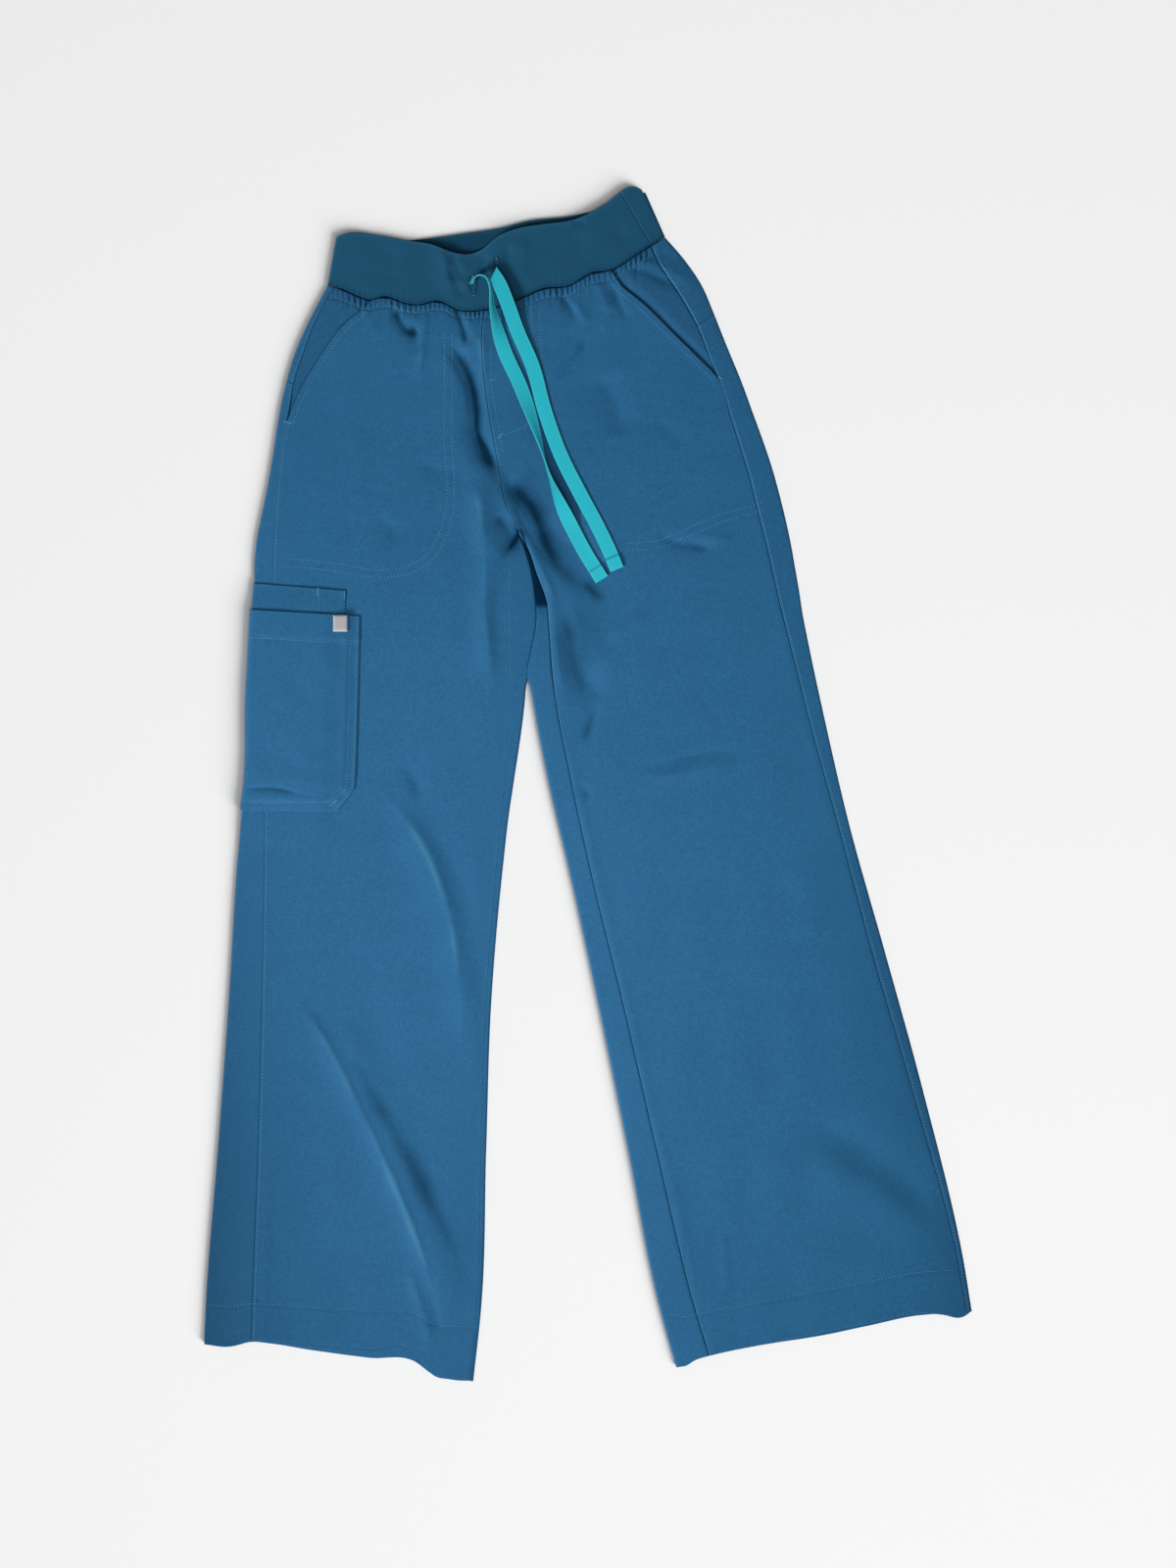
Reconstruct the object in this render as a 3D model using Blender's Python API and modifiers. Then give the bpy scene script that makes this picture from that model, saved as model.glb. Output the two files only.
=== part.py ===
"""Wide-leg scrub trousers laid flat on a table, front side up.

X runs across the garment, Y from the hems to the waist and Z up from the table, with the origin at the
middle of the outline. Right and left are the wearer's, so the right leg lies on the -X side.
The tables hold millimetres. A mesh is scaled to metres when it is made.
"""
from collections import namedtuple
from math import cos, hypot, pi, radians, sin

import bpy
import numpy as np

MM = 0.001
TINY = 1e-6
SHARP_ANGLE = 50.0

# Walls and gaps
CLOTH_WALL = 1.0
BAND_WALL = 1.8
TAPE_WALL = 1.0
SEAM_GAP = 0.3
LAYER_GAP = 0.3
LAYER_CLEARANCE = 0.4

# Folded edges: the outer radius where a layer turns under
LEG_FOLD = 2.0
BAND_FOLD = 2.4
FOLD_STEPS = 4
CROTCH_ANGLE = -10.0

# How far the top layer stands above the folded edges
LEG_CROWN = 1.7
CROWN_REACH = 26.0
WAIST_PUFF = 2.2
PUFF_DEPTH = 26.0

# Grid of the panels. The lower layer's stops are closer where the right hem steps down.
FRONT_COLUMNS = 16
STRIP_COLUMNS = 2
FACING_COLUMNS = 3
UNDER_STOPS = (0.0, 0.26, 0.35, 0.62, 0.81, 0.865, 1.0)

# Gathers under the waistband
GATHER_SPLIT = 5
GATHER_STEPS = 4
GATHER_HEIGHT = 0.5
GATHER_DEPTH = 9.0
GATHER_FADE = 0.7
GATHER_UNEVENNESS = 0.25
GATHER_BEAT = 1.7

# How far the waist curve and the hem curve are felt along the leg
WAIST_FADE = 45.0
HEM_FADE = 45.0

# Cargo pocket, counted in columns of the right front panel
POCKET_COLUMNS = 6
PEN_COLUMNS = 5
POCKET_LIFT = CLOTH_WALL + LAYER_GAP
POCKET_LIFT_REACH = (66.0, 84.0)
POCKET_LIFT_FOOT = (-64.0, -24.0)
POCKET_LIFT_MOUTH = (157.0, 181.0)

# Hip facing: how far it goes under the front panel, its depth there, the share of it at the side seam and
# the width of its slope
FACING_TUCK = 7.0
FACING_DEPTH = 1.6
FACING_SIDE_SHARE = 0.2
FACING_SLOPE = 14.0

# Tab at the pocket mouth
TAB_CENTRE = (-222.5, 144.5)
TAB_SIZE = (13.0, 15.0)
TAB_REACH = 22.0

# Drawstring
TAPE_WIDTH = 13.0
TAPE_ROWS = 48
TAPE_CLEARANCE = 0.8
TAPE_SAMPLES = (-0.6, -0.3, 0.0, 0.3, 0.6)
TAPE_SAMPLE_STEP = 4.0
TAPE_BRIDGE = 2

BODY_COLOUR = (0.030, 0.110, 0.245, 1.0)
BAND_COLOUR = (0.014, 0.085, 0.175, 1.0)
FACING_COLOUR = (0.026, 0.100, 0.225, 1.0)
TAPE_COLOUR = (0.020, 0.480, 0.580, 1.0)
TAB_COLOUR = (0.390, 0.400, 0.410, 1.0)

# One row for each section across a leg, from the waist down. rows is the number of mesh rows to the next
# section, outer the folded outer edge, side the side seam, mouth the front panel's edge (the slant pocket
# mouth, then the side seam), seam the centre front seam and then the inseam, edge the folded inner edge.
Section = namedtuple("Section", "name rows outer side mouth seam edge")

RIGHT_SECTIONS = (
    Section("waist", 1, (-234.5, 449.5), (-229.5, 448.5), (-195, 443.2), (-94, 427), (-94, 427)),
    Section("mouth high", 1, (-252, 416), (-247, 415.5), (-221, 413.8), (-95.5, 405), (-95.5, 405)),
    Section("mouth middle", 1, (-263, 391), (-256, 390.4), (-238.5, 389.7), (-95, 382), (-95, 382)),
    Section("yoke", 1, (-271.5, 364), (-265.5, 360.5), (-256.5, 361), (-91.5, 350), (-91.5, 350)),
    Section("mouth low", 1, (-276, 345), (-268, 344.4), (-264.5, 344.2), (-89, 333), (-89, 333)),
    Section("mouth end", 1, (-279.5, 326), (-271.5, 325.6), (-271.5, 325.6), (-86, 316), (-86, 316)),
    Section("hip", 1, (-285, 290), (-277.5, 289.4), (-277.5, 289.4), (-79.5, 280), (-79.5, 280)),
    Section("rise", 1, (-290, 262), (-280.5, 261.5), (-280.5, 261.5), (-74, 252), (-74, 252)),
    Section("crotch", 1, (-295, 238), (-282, 237.5), (-282, 237.5), (-63.5, 229), (-63.5, 229)),
    Section("below crotch", 1, (-298.5, 220), (-283, 219.4), (-283, 219.4), (-71, 208), (-55.5, 207)),
    Section("upper thigh", 1, (-300.5, 202), (-283.6, 200.7), (-283.6, 200.7), (-72, 190), (-51, 190)),
    Section("pen mouth", 1, (-301, 181), (-284.2, 179.6), (-284.2, 179.6), (-72, 162), (-47.3, 162)),
    Section("pocket mouth", 1, (-302.6, 157), (-285, 156), (-285, 156), (-71.8, 143), (-47.3, 143)),
    Section("thigh high", 1, (-303.8, 135), (-285.6, 134), (-285.6, 134), (-71.8, 123), (-51, 123)),
    Section("thigh middle", 1, (-304.9, 112), (-286.4, 111.3), (-286.4, 111.3), (-71.8, 103), (-55, 103)),
    Section("leg fork", 2, (-306.4, 87), (-287.2, 86.4), (-287.2, 86.4), (-72, 80), (-56.5, 80)),
    Section("pocket corner", 1, (-308.8, -3), (-290.2, -3.2), (-290.2, -3.2), (-75.5, -5), (-68, -5)),
    Section("pocket foot", 1, (-311.5, -24), (-291, -24.1), (-291, -24.1), (-78, -25), (-71, -25)),
    Section("knee", 3, (-315.5, -64), (-291.4, -64.1), (-291.4, -64.1), (-81.5, -66), (-75.8, -66)),
    Section("shin", 3, (-323.5, -190), (-293.4, -190.5), (-293.4, -190.5), (-92, -196), (-87.2, -196)),
    Section("calf", 3, (-333, -320), (-296.6, -321.5), (-296.6, -321.5), (-96.5, -330), (-91.8, -330)),
    Section("hem stitch", 1, (-344.2, -462), (-301.6, -463.8), (-301.6, -463.8), (-101.5, -480), (-97, -480)),
    Section("hem", 1, (-346.2, -505), (-302.8, -509.2), (-302.8, -509.2), (-108, -537.5), (-103.5, -538.5)),
)

LEFT_SECTIONS = (
    Section("waist", 1, (69.5, 493), (57, 487.7), (21, 473.4), (-94, 427), (-94, 427)),
    Section("mouth high", 1, (86, 474), (66, 466), (33, 453.1), (-95.5, 405), (-95.5, 405)),
    Section("mouth middle", 1, (101, 452.5), (80.5, 446), (50.5, 433.6), (-95, 382), (-95, 382)),
    Section("yoke", 1, (113.5, 424.5), (98.5, 413.5), (77, 406.4), (-91.5, 350), (-91.5, 350)),
    Section("mouth low", 1, (124, 398), (107.5, 390), (97, 386.9), (-89, 333), (-89, 333)),
    Section("mouth end", 1, (137, 366.5), (118, 364.5), (118, 364.5), (-86, 316), (-86, 316)),
    Section("hip", 1, (149, 334), (128.5, 331), (128.5, 331), (-79.5, 280), (-79.5, 280)),
    Section("rise", 1, (159.5, 305), (138, 301), (138, 301), (-74, 252), (-74, 252)),
    Section("crotch", 1, (167, 282), (145, 278), (145, 278), (-63.5, 229), (-63.5, 229)),
    Section("below crotch", 1, (172.5, 262), (150, 258), (150, 258), (-49.6, 209), (-54.7, 207)),
    Section("upper thigh", 1, (177.5, 242), (155, 238), (155, 238), (-44.8, 191), (-50.2, 190)),
    Section("pen level", 1, (183.5, 214), (162, 210.5), (162, 210.5), (-37.2, 163), (-46.5, 162)),
    Section("pocket level", 1, (187, 194), (166.5, 190.5), (166.5, 190.5), (-35.5, 145), (-46.5, 143)),
    Section("thigh high", 1, (190.5, 174), (171, 170.5), (171, 170.5), (-34, 126), (-50.2, 123)),
    Section("thigh middle", 1, (193.5, 154), (175.7, 151), (175.7, 151), (-32.6, 106), (-54, 103)),
    Section("leg fork", 2, (198, 131), (181.5, 128.5), (181.5, 128.5), (-30, 83), (-50.3, 80)),
    Section("lower thigh", 2, (214.5, 54), (201, 51.5), (201, 51.5), (-15, 3), (-35, 0)),
    Section("knee", 3, (233.5, -28), (223.5, -30), (223.5, -30), (2.5, -78), (-16, -81)),
    Section("shin", 3, (268, -152), (257, -155), (257, -155), (33.5, -205), (11.5, -208)),
    Section("calf", 3, (301, -272), (292, -275), (292, -275), (61, -325), (36, -328)),
    Section("hem stitch", 1, (339.5, -434), (334.8, -436.5), (334.8, -436.5), (98, -479), (67, -481)),
    Section("hem", 1, (346.2, -475.5), (341.5, -476.8), (341.5, -476.8), (109.5, -519.5), (79.5, -526)),
)

# Seam of the waistband to the body, along x
WAIST_SEAM = (
    (-234.5, 449.5), (-225, 447.5), (-215, 443), (-204, 438), (-196, 436), (-184, 439), (-163, 432.5),
    (-153, 431.5), (-135, 435), (-116, 426.5), (-94, 427), (-61, 437), (-41, 446), (-16, 449), (4, 460.5),
    (20, 462.5), (44, 477), (57, 485.5), (69.5, 493),
)
# Top edges of the two halves of the waistband, along x
BAND_TOP_FRONT = (
    (-227, 493), (-219, 496), (-186, 494), (-164, 490), (-144, 487), (-119, 478.5), (-108, 477.5), (-97, 481),
    (-80, 494), (-62, 501), (-43, 504), (-6, 511), (14, 522), (44, 538), (52, 533),
)
BAND_TOP_BACK = (
    (-227, 493), (-200, 491), (-162, 490.5), (-138, 493), (-110, 497), (-80, 501.5), (-54, 508), (-13, 513),
    (14, 520), (44, 535), (52, 533),
)
# Its two halves meet at the side seam on the front, and under the fold of the other side
BAND_SIDE_SEAM = ((57.0, 485.5), (29.0, 530.5))
BAND_WRAP = 3 * BAND_FOLD
BAND_COLUMNS = 32
BAND_SEAM_COLUMN = 30
UNDER_BAND_COLUMNS = 12
BAND_STRIP_COLUMNS = 3
BAND_ROWS = 4

# Relief of the waistband's front: a crown, and creases where the drawstring pulls it together. Places are
# shares of its length.
BAND_CROWN = 1.2
BAND_CROWN_RATE = 9.0
BAND_CREASE_HEIGHT = 0.7
BAND_CREASES = 5.5
BAND_CREASE_LEAN = 0.35
BAND_CREASE_CENTRE = 0.42
BAND_CREASE_SPREAD = 0.16
BAND_CREASE_FOOT = 0.4
BAND_CLEARANCE = 0.8

# Lower edges of the two layers at each hem, along x
Hem = namedtuple("Hem", "x front back")
RIGHT_HEM = (
    Hem(-346.2, -505, -505), Hem(-324, -508, -508), Hem(-303, -503, -503.5),
    Hem(-287, -503, -505), Hem(-249, -506, -511), Hem(-197, -510, -518),
    Hem(-155, -513.5, -522), Hem(-141, -532, -532.5), Hem(-124, -537, -537),
    Hem(-103.5, -538.5, -538.5),
)
LEFT_HEM = (
    Hem(79.5, -526, -526), Hem(98, -519, -519), Hem(113, -515, -515),
    Hem(168, -503.5, -504.5), Hem(210, -494.5, -498), Hem(253, -485.5, -489),
    Hem(300, -476.5, -479.5), Hem(320, -478, -478.5), Hem(336, -480.5, -480.5),
    Hem(348, -474, -474),
)

# The largest folds of the top layer: height above the smooth cloth (a trough is negative), half width, path
Fold = namedtuple("Fold", "name height width path")
FOLDS = (
    Fold("tuck beside the fly", -2.4, 9.0,
         ((-130, 404), (-116, 383), (-104, 355), (-104, 323), (-95, 299), (-76, 276))),
    Fold("ridge by the crotch", 2.0, 11.0,
         ((-116, 299), (-96, 276), (-95, 232), (-84, 208), (-92, 166), (-92, 120), (-85, 78))),
    Fold("crease on the left groin", -2.6, 17.0,
         ((-69, 267), (-50, 246), (-29, 218), (-4, 194), (14, 169))),
    Fold("hollow on the left thigh", -1.6, 13.0,
         ((-18, 155), (-15, 110), (-1, 86), (22, 92))),
    Fold("left hip hollow", -1.3, 17.0,
         ((14, 372), (23, 342), (31, 313))),
    Fold("knee ridge", 1.8, 13.0,
         ((-180, -13), (-157, -44), (-141, -80), (-125, -120), (-117, -163), (-111, -230))),
    Fold("long shin ridge", 3.2, 21.0,
         ((-252, -190), (-215, -247), (-180, -312), (-156, -367), (-133, -427), (-124, -490))),
    Fold("left shin hollow", -1.5, 22.0,
         ((188, -300), (239, -328), (281, -351), (322, -388))),
    Fold("left shin ridge", 1.2, 20.0,
         ((196, -340), (240, -365), (285, -392), (318, -424))),
)
# Share of its length over which a fold rises from nothing at each end
FOLD_TAPER = 0.22

# Free ends of the drawstring, from the buttonhole down. lift is the height over the cloth below, and roll the
# ribbon's turn about its own length, in degrees.
TapePoint = namedtuple("TapePoint", "x y lift roll")
TAPE_RIGHT = (
    TapePoint(-103.5, 450, 0.3, 0), TapePoint(-97, 457, 3.5, 0), TapePoint(-91, 451, 3.0, 0),
    TapePoint(-87, 435, 1.0, 0), TapePoint(-81, 412, 0.2, 0), TapePoint(-73, 388, 0, 0),
    TapePoint(-61, 358, 0, 0), TapePoint(-51, 328, 0, 15), TapePoint(-42, 300, 0, 90),
    TapePoint(-36, 281, 0, 160), TapePoint(-30, 263, 0, 180), TapePoint(-17, 235, 0, 180),
    TapePoint(-4, 211, 0, 180), TapePoint(12.5, 184, 0, 180),
)
TAPE_LEFT = (
    TapePoint(-82.5, 466, 1.0, 0), TapePoint(-78, 453, 6.4, 0), TapePoint(-72, 433, 5.0, 0),
    TapePoint(-62, 407, 2.0, 0), TapePoint(-50, 376, 0.3, 0), TapePoint(-39, 336, 0, 0),
    TapePoint(-25, 297, 0, 0), TapePoint(-7, 261, 0, 0), TapePoint(8, 233, 0, 0),
    TapePoint(20, 208, 0, 0), TapePoint(26, 193, 0, 0),
)


# Curves through tables

def smooth(knots, values, at):
    """Cubic curve through the values at the knots, read at the given places."""
    knots = np.asarray(knots, float)
    values = np.asarray(values, float)
    step = np.diff(knots)
    column = (-1,) + (1,) * (values.ndim - 1)
    slope = np.diff(values, axis=0) / step.reshape(column)
    share = (step[:-1] / (step[:-1] + step[1:])).reshape(column)
    tangent = np.concatenate((slope[:1], slope[:-1] * (1 - share) + slope[1:] * share, slope[-1:]))
    at = np.clip(np.asarray(at, float), knots[0], knots[-1])
    first = np.clip(np.searchsorted(knots, at, side="right") - 1, 0, len(step) - 1)
    part = (at - knots[first]) / step[first]
    shape = np.shape(at) + (1,) * (values.ndim - 1)
    part = part.reshape(shape)
    width = step[first].reshape(shape)
    start = values[first] * (1 + 2 * part) * (1 - part) ** 2
    end = values[first + 1] * (3 - 2 * part) * part ** 2
    bend = tangent[first] * part * (1 - part) ** 2 - tangent[first + 1] * (1 - part) * part ** 2
    return start + end + bend * width


def step_between(low, high, value):
    """0 below low, 1 above high and a smooth rise between them."""
    part = np.clip((np.asarray(value, float) - low) / (high - low), 0.0, 1.0)
    return part * part * (3 - 2 * part)


def mix(first, second, part):
    return np.asarray(first, float) * (1 - part) + np.asarray(second, float) * part


def table_y(table, x):
    return smooth([row[0] for row in table], [row[1] for row in table], x)


def waist_y(x):
    """y of the waist seam. It is straight between the waistband's columns, so that both sides match."""
    columns = np.linspace(WAIST_SEAM[0][0], WAIST_SEAM[-1][0], BAND_COLUMNS + 1)
    return np.interp(x, columns, table_y(WAIST_SEAM, columns))


class Leg:
    """One leg with its half of the hips, read from its table of sections."""

    def __init__(self, sections, hem):
        self.sections = sections
        self.hem = hem
        middles = [mix(section.outer, section.seam, 0.5) for section in sections]
        lengths = [hypot(*(b - a)) for a, b in zip(middles, middles[1:])]
        self.knots = np.concatenate(([0.0], np.cumsum(lengths)))
        self.length = self.knots[-1]
        self.crotch = self.place("crotch")
        self.inward = 1.0 if sections[0].outer[0] < sections[0].seam[0] else -1.0

    def place(self, name):
        """Distance of a named section from the waist, along the leg."""
        names = [section.name for section in self.sections]
        return float(self.knots[names.index(name)])

    def line(self, column, at):
        """Point of a column of the table at a distance from the waist."""
        return smooth(self.knots, [getattr(section, column) for section in self.sections], at)

    def rows(self, start=0.0, end=None):
        """Places of the mesh rows between two distances from the waist."""
        end = self.length if end is None else end
        places = []
        for section, low, high in zip(self.sections, self.knots, self.knots[1:]):
            places += [low + (high - low) * k / section.rows for k in range(section.rows)]
        places.append(self.length)
        return [place for place in places if start - TINY <= place <= end + TINY]

    def edge_x(self, column, y):
        """x of a folded edge at a height y."""
        points = np.array([getattr(section, column) for section in self.sections])[::-1]
        return smooth(points[:, 1], points[:, 0], y)

    def waist_shift(self, point, at):
        """Move of a top-layer point in y, so that the rows near the waist follow the waist seam."""
        first, last = self.sections[0].outer, self.sections[0].seam
        straight = first[1] + (last[1] - first[1]) * (point[0] - first[0]) / (last[0] - first[0])
        return float(waist_y(point[0]) - straight) * np.exp(-(at / WAIST_FADE) ** 2)

    def hem_shift(self, point, at, layer):
        """Move of a point in y, so that the rows near the hem follow the hem of its layer."""
        first, last = self.sections[-1].outer, self.sections[-1].edge
        straight = first[1] + (last[1] - first[1]) * (point[0] - first[0]) / (last[0] - first[0])
        curve = np.interp(point[0], [row.x for row in self.hem], [getattr(row, layer) for row in self.hem])
        return float(curve - straight) * np.exp(-((self.length - at) / HEM_FADE) ** 2)

    def top_point(self, point, at):
        """Point of the top layer: its x and y follow waist and hem, its z the cloth's height."""
        shift = self.waist_shift(point, at) + self.hem_shift(point, at, "front")
        x, y = point[0], point[1] + shift
        return np.array([x, y, float(top_height(self, x, y))])

    def under_point(self, point, at):
        """Point of the lower layer's outside, flat on the table or on the pocket's turned-under part."""
        x, y = point[0], point[1] + self.hem_shift(point, at, "back")
        return np.array([x, y, float(pocket_lift(self, x, y))])


RIGHT = Leg(RIGHT_SECTIONS, RIGHT_HEM)
LEFT = Leg(LEFT_SECTIONS, LEFT_HEM)


# Heights

def fold_relief(x, y):
    """Sum of the largest folds at a point."""
    total = np.zeros(np.shape(x))
    for fold in FOLDS:
        path = np.array(fold.path, float)
        lengths = np.hypot(*np.diff(path, axis=0).T)
        starts = np.concatenate(([0.0], np.cumsum(lengths)))
        nearest = np.full(np.shape(x), np.inf)
        along = np.zeros(np.shape(x))
        for a, b, start, length in zip(path, path[1:], starts, lengths):
            part = np.clip(((x - a[0]) * (b[0] - a[0]) + (y - a[1]) * (b[1] - a[1])) / length ** 2, 0, 1)
            gap = np.hypot(x - a[0] - part * (b[0] - a[0]), y - a[1] - part * (b[1] - a[1]))
            closer = gap < nearest
            nearest = np.where(closer, gap, nearest)
            along = np.where(closer, (start + part * length) / starts[-1], along)
        ends = step_between(0, FOLD_TAPER, along) * step_between(0, FOLD_TAPER, 1 - along)
        total = total + fold.height * ends * np.exp(-(nearest / fold.width) ** 2)
    return total


def pocket_lift(leg, x, y):
    """Height that the cargo pocket's turned-under part lifts the right leg's outer edge by."""
    if leg is not RIGHT:
        return np.zeros(np.shape(x))
    inside = np.asarray(x, float) - leg.edge_x("outer", y)
    across = 1 - step_between(*POCKET_LIFT_REACH, inside)
    along = step_between(*POCKET_LIFT_FOOT, y) * (1 - step_between(*POCKET_LIFT_MOUTH, y))
    return POCKET_LIFT * across * along


def top_height(leg, x, y):
    """Height of the outside of a leg's top layer."""
    x = np.asarray(x, float)
    y = np.asarray(y, float)
    crotch = leg.line("edge", leg.crotch)
    from_outer = (x - leg.edge_x("outer", y)) * leg.inward - LEG_FOLD
    from_edge = (leg.edge_x("edge", np.minimum(y, crotch[1])) - x) * leg.inward - LEG_FOLD
    over_crotch = np.hypot(x - crotch[0], np.maximum(y - crotch[1], 0))
    from_edge = np.where(y > crotch[1], over_crotch, from_edge)
    crown = LEG_CROWN
    for gap in (from_outer, from_edge):
        crown = crown * (1 - np.exp(-np.maximum(gap, 0) / CROWN_REACH))
    depth = np.maximum(waist_y(x) - y, 0) / PUFF_DEPTH
    edges = 1 - np.exp(-np.maximum(from_outer, 0) / CROWN_REACH)
    puff = WAIST_PUFF * depth * np.exp(1 - depth) * edges
    relief = fold_relief(x, y) * edges
    lift = pocket_lift(leg, x, y)
    floor = lift + 2 * CLOTH_WALL + LAYER_GAP + LAYER_CLEARANCE
    return np.maximum(2 * LEG_FOLD + lift + crown + puff + relief, floor)


def band_height(across, up):
    """Height of the outside of the waistband's front, by its place across and up the band."""
    crown = BAND_CROWN
    for share in (across, 1 - across):
        crown = crown * (1 - np.exp(-BAND_CROWN_RATE * share))
    wave = np.sin(2 * pi * (BAND_CREASES * across + BAND_CREASE_LEAN * up))
    spread = np.exp(-((across - BAND_CREASE_CENTRE) / BAND_CREASE_SPREAD) ** 2)
    rise = mix(BAND_CREASE_FOOT, 1.0, up)
    return 2 * BAND_FOLD + crown + BAND_CREASE_HEIGHT * wave * spread * rise


def surface_height(x, y):
    """Height of the garment's top layer at a point, for what lies on it."""
    if y > waist_y(x):
        left, right = WAIST_SEAM[0][0], WAIST_SEAM[-1][0]
        return float(band_height((x - left) / (right - left), 0.5)) + BAND_CLEARANCE
    leg = RIGHT if x < leg_divide(y) else LEFT
    return float(top_height(leg, x, y))


def leg_divide(y):
    """x of the line that parts the two legs: the centre front seam and then the legs' inner edges."""
    return float(0.5 * (RIGHT.edge_x("edge", y) + LEFT.edge_x("edge", y)))


# Meshes

def clear_scene():
    for item in list(bpy.data.objects):
        bpy.data.objects.remove(item, do_unlink=True)


def make_material(name, colour, roughness):
    material = bpy.data.materials.new(name)
    material.use_nodes = True
    shader = material.node_tree.nodes["Principled BSDF"]
    shader.inputs["Base Color"].default_value = colour
    shader.inputs["Roughness"].default_value = roughness
    shader.inputs["Metallic"].default_value = 0.0
    material.diffuse_color = colour
    return material


def split_faces(upper, lower):
    """Faces between two rows of point numbers. The finer row has whole steps to each coarse one."""
    if len(upper) >= len(lower):
        fine, coarse, turned = upper, lower, False
    else:
        fine, coarse, turned = lower, upper, True
    split = (len(fine) - 1) // (len(coarse) - 1)
    faces = []
    for k in range(len(coarse) - 1):
        face = fine[k * split:(k + 1) * split + 1] + [coarse[k + 1], coarse[k]]
        faces.append(face[::-1] if turned else face)
    return faces


def start_faces(upper, lower):
    """Faces between the columns that two rows of point numbers share, counted from their start."""
    columns = min(len(upper), len(lower)) - 1
    return [[upper[k], upper[k + 1], lower[k + 1], lower[k]] for k in range(columns)]


def make_shell(name, rows, wall, material, collection, join=split_faces, offset=-1.0):
    """Cloth of one wall: an open surface through rows of points, given its thickness inwards."""
    points = [point for row in rows for point in row]
    starts = np.cumsum([0] + [len(row) for row in rows]).tolist()
    numbers = [list(range(a, b)) for a, b in zip(starts, starts[1:])]
    faces = [face for upper, lower in zip(numbers, numbers[1:]) for face in join(upper, lower)]
    mesh = bpy.data.meshes.new(name)
    mesh.from_pydata([tuple(MM * value for value in point) for point in points], [], faces)
    mesh.update()
    highest = max(mesh.polygons, key=lambda face: face.center.z)
    if highest.normal.z < 0:
        mesh.flip_normals()
    mesh.shade_smooth()
    mesh.set_sharp_from_angle(angle=radians(SHARP_ANGLE))
    shell = bpy.data.objects.new(name, mesh)
    collection.objects.link(shell)
    mesh.materials.append(material)
    thickness = shell.modifiers.new("cloth wall", "SOLIDIFY")
    thickness.thickness = wall * MM
    thickness.offset = offset
    thickness.use_even_offset = True
    thickness.use_quality_normals = True
    return shell


# Leg panels

def toward(start, end, distance):
    """Point at a distance from start on the way to end."""
    start = np.asarray(start, float)
    way = np.asarray(end, float) - start
    return start + way * distance / hypot(*way)


def fold_points(edge, inner, height, radius, start=-90.0, end=90.0, steps=FOLD_STEPS):
    """Points round a folded edge, on the side away from inner, from the start angle to the end angle."""
    points = []
    for k in range(steps + 1):
        angle = radians(start + (end - start) * k / steps)
        x, y = toward(edge, inner, radius * (1 - cos(angle)))
        points.append(np.array([x, y, height + radius * (1 + sin(angle))]))
    return points


def outer_turn(leg, at):
    """The lower layer from the side seam over the outer fold to the start of its flat part."""
    outer = leg.line("outer", at)
    side = toward(leg.line("side", at), outer, SEAM_GAP / 2)
    far = leg.line("edge", at)
    lift = float(pocket_lift(leg, *outer))
    turn = fold_points(outer, far, lift, LEG_FOLD, start=90.0, end=-90.0)
    strip = [leg.top_point(mix(side, turn[0][:2], k / STRIP_COLUMNS), at) for k in range(STRIP_COLUMNS)]
    return strip + turn


def inner_turn(leg, at):
    """The lower layer from its flat part round the inner fold to the inseam.

    At the crotch the inseam meets the fold, so the lower layer ends there just below the front panel.
    """
    edge = leg.line("edge", at)
    outer = leg.line("outer", at)
    if at <= leg.crotch + TINY:
        parted = toward(edge, outer, SEAM_GAP / 2)
        return fold_points(parted, outer, 0.0, LEG_FOLD, end=CROTCH_ANGLE, steps=FOLD_STEPS + 1)
    turn = fold_points(edge, outer, 0.0, LEG_FOLD)
    seam = toward(leg.line("seam", at), edge, SEAM_GAP / 2)
    return turn + [leg.top_point(seam, at)]


def under_flat(leg, at, meets_other_leg):
    """The lower layer where it lies on the table, from the outer fold to the inner fold or the back seam."""
    outer = leg.line("outer", at)
    edge = leg.line("edge", at)
    start = toward(outer, edge, LEG_FOLD)
    end = toward(edge, outer, SEAM_GAP / 2 if meets_other_leg else LEG_FOLD)
    return [leg.under_point(mix(start, end, stop), at) for stop in UNDER_STOPS]


def back_row(leg, at, above_crotch):
    """One row of a back panel, from the side seam round to the centre back seam or the inseam."""
    row = outer_turn(leg, at)[:-1] + under_flat(leg, at, above_crotch)
    if above_crotch:
        return row
    return row[:-1] + inner_turn(leg, at)


def make_back(leg, side, materials, collection):
    """Yoke and back panel of one leg. The yoke seam follows a section that wraps over the hip.

    Above the crotch the back panel stops at the centre back seam, and below it goes on to the inseam.
    """
    yoke = leg.place("yoke")
    places = [SEAM_GAP, GATHER_DEPTH] + leg.rows(2 * GATHER_DEPTH, yoke - 1) + [yoke - SEAM_GAP / 2]
    rows = [back_row(leg, at, True) for at in places]
    make_shell(f"back_yoke_{side}", rows, CLOTH_WALL, materials["body"], collection)
    places = [yoke + SEAM_GAP / 2] + leg.rows(yoke + 1, leg.crotch - 1)
    rows = [back_row(leg, at, True) for at in places]
    rows += [back_row(leg, at, False) for at in leg.rows(leg.crotch)]
    make_shell(f"back_{side}", rows, CLOTH_WALL, materials["body"], collection, join=start_faces)


def front_stops(leg, at):
    """Columns of a front panel's row, from the pocket mouth or side seam to the centre seam or inseam."""
    mouth = leg.line("mouth", at)
    seam = leg.line("seam", at)
    start = toward(mouth, seam, SEAM_GAP / 2)
    end = toward(seam, mouth, SEAM_GAP / 2)
    return [(mix(start, end, k / FRONT_COLUMNS), 0.0) for k in range(FRONT_COLUMNS + 1)]


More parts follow.
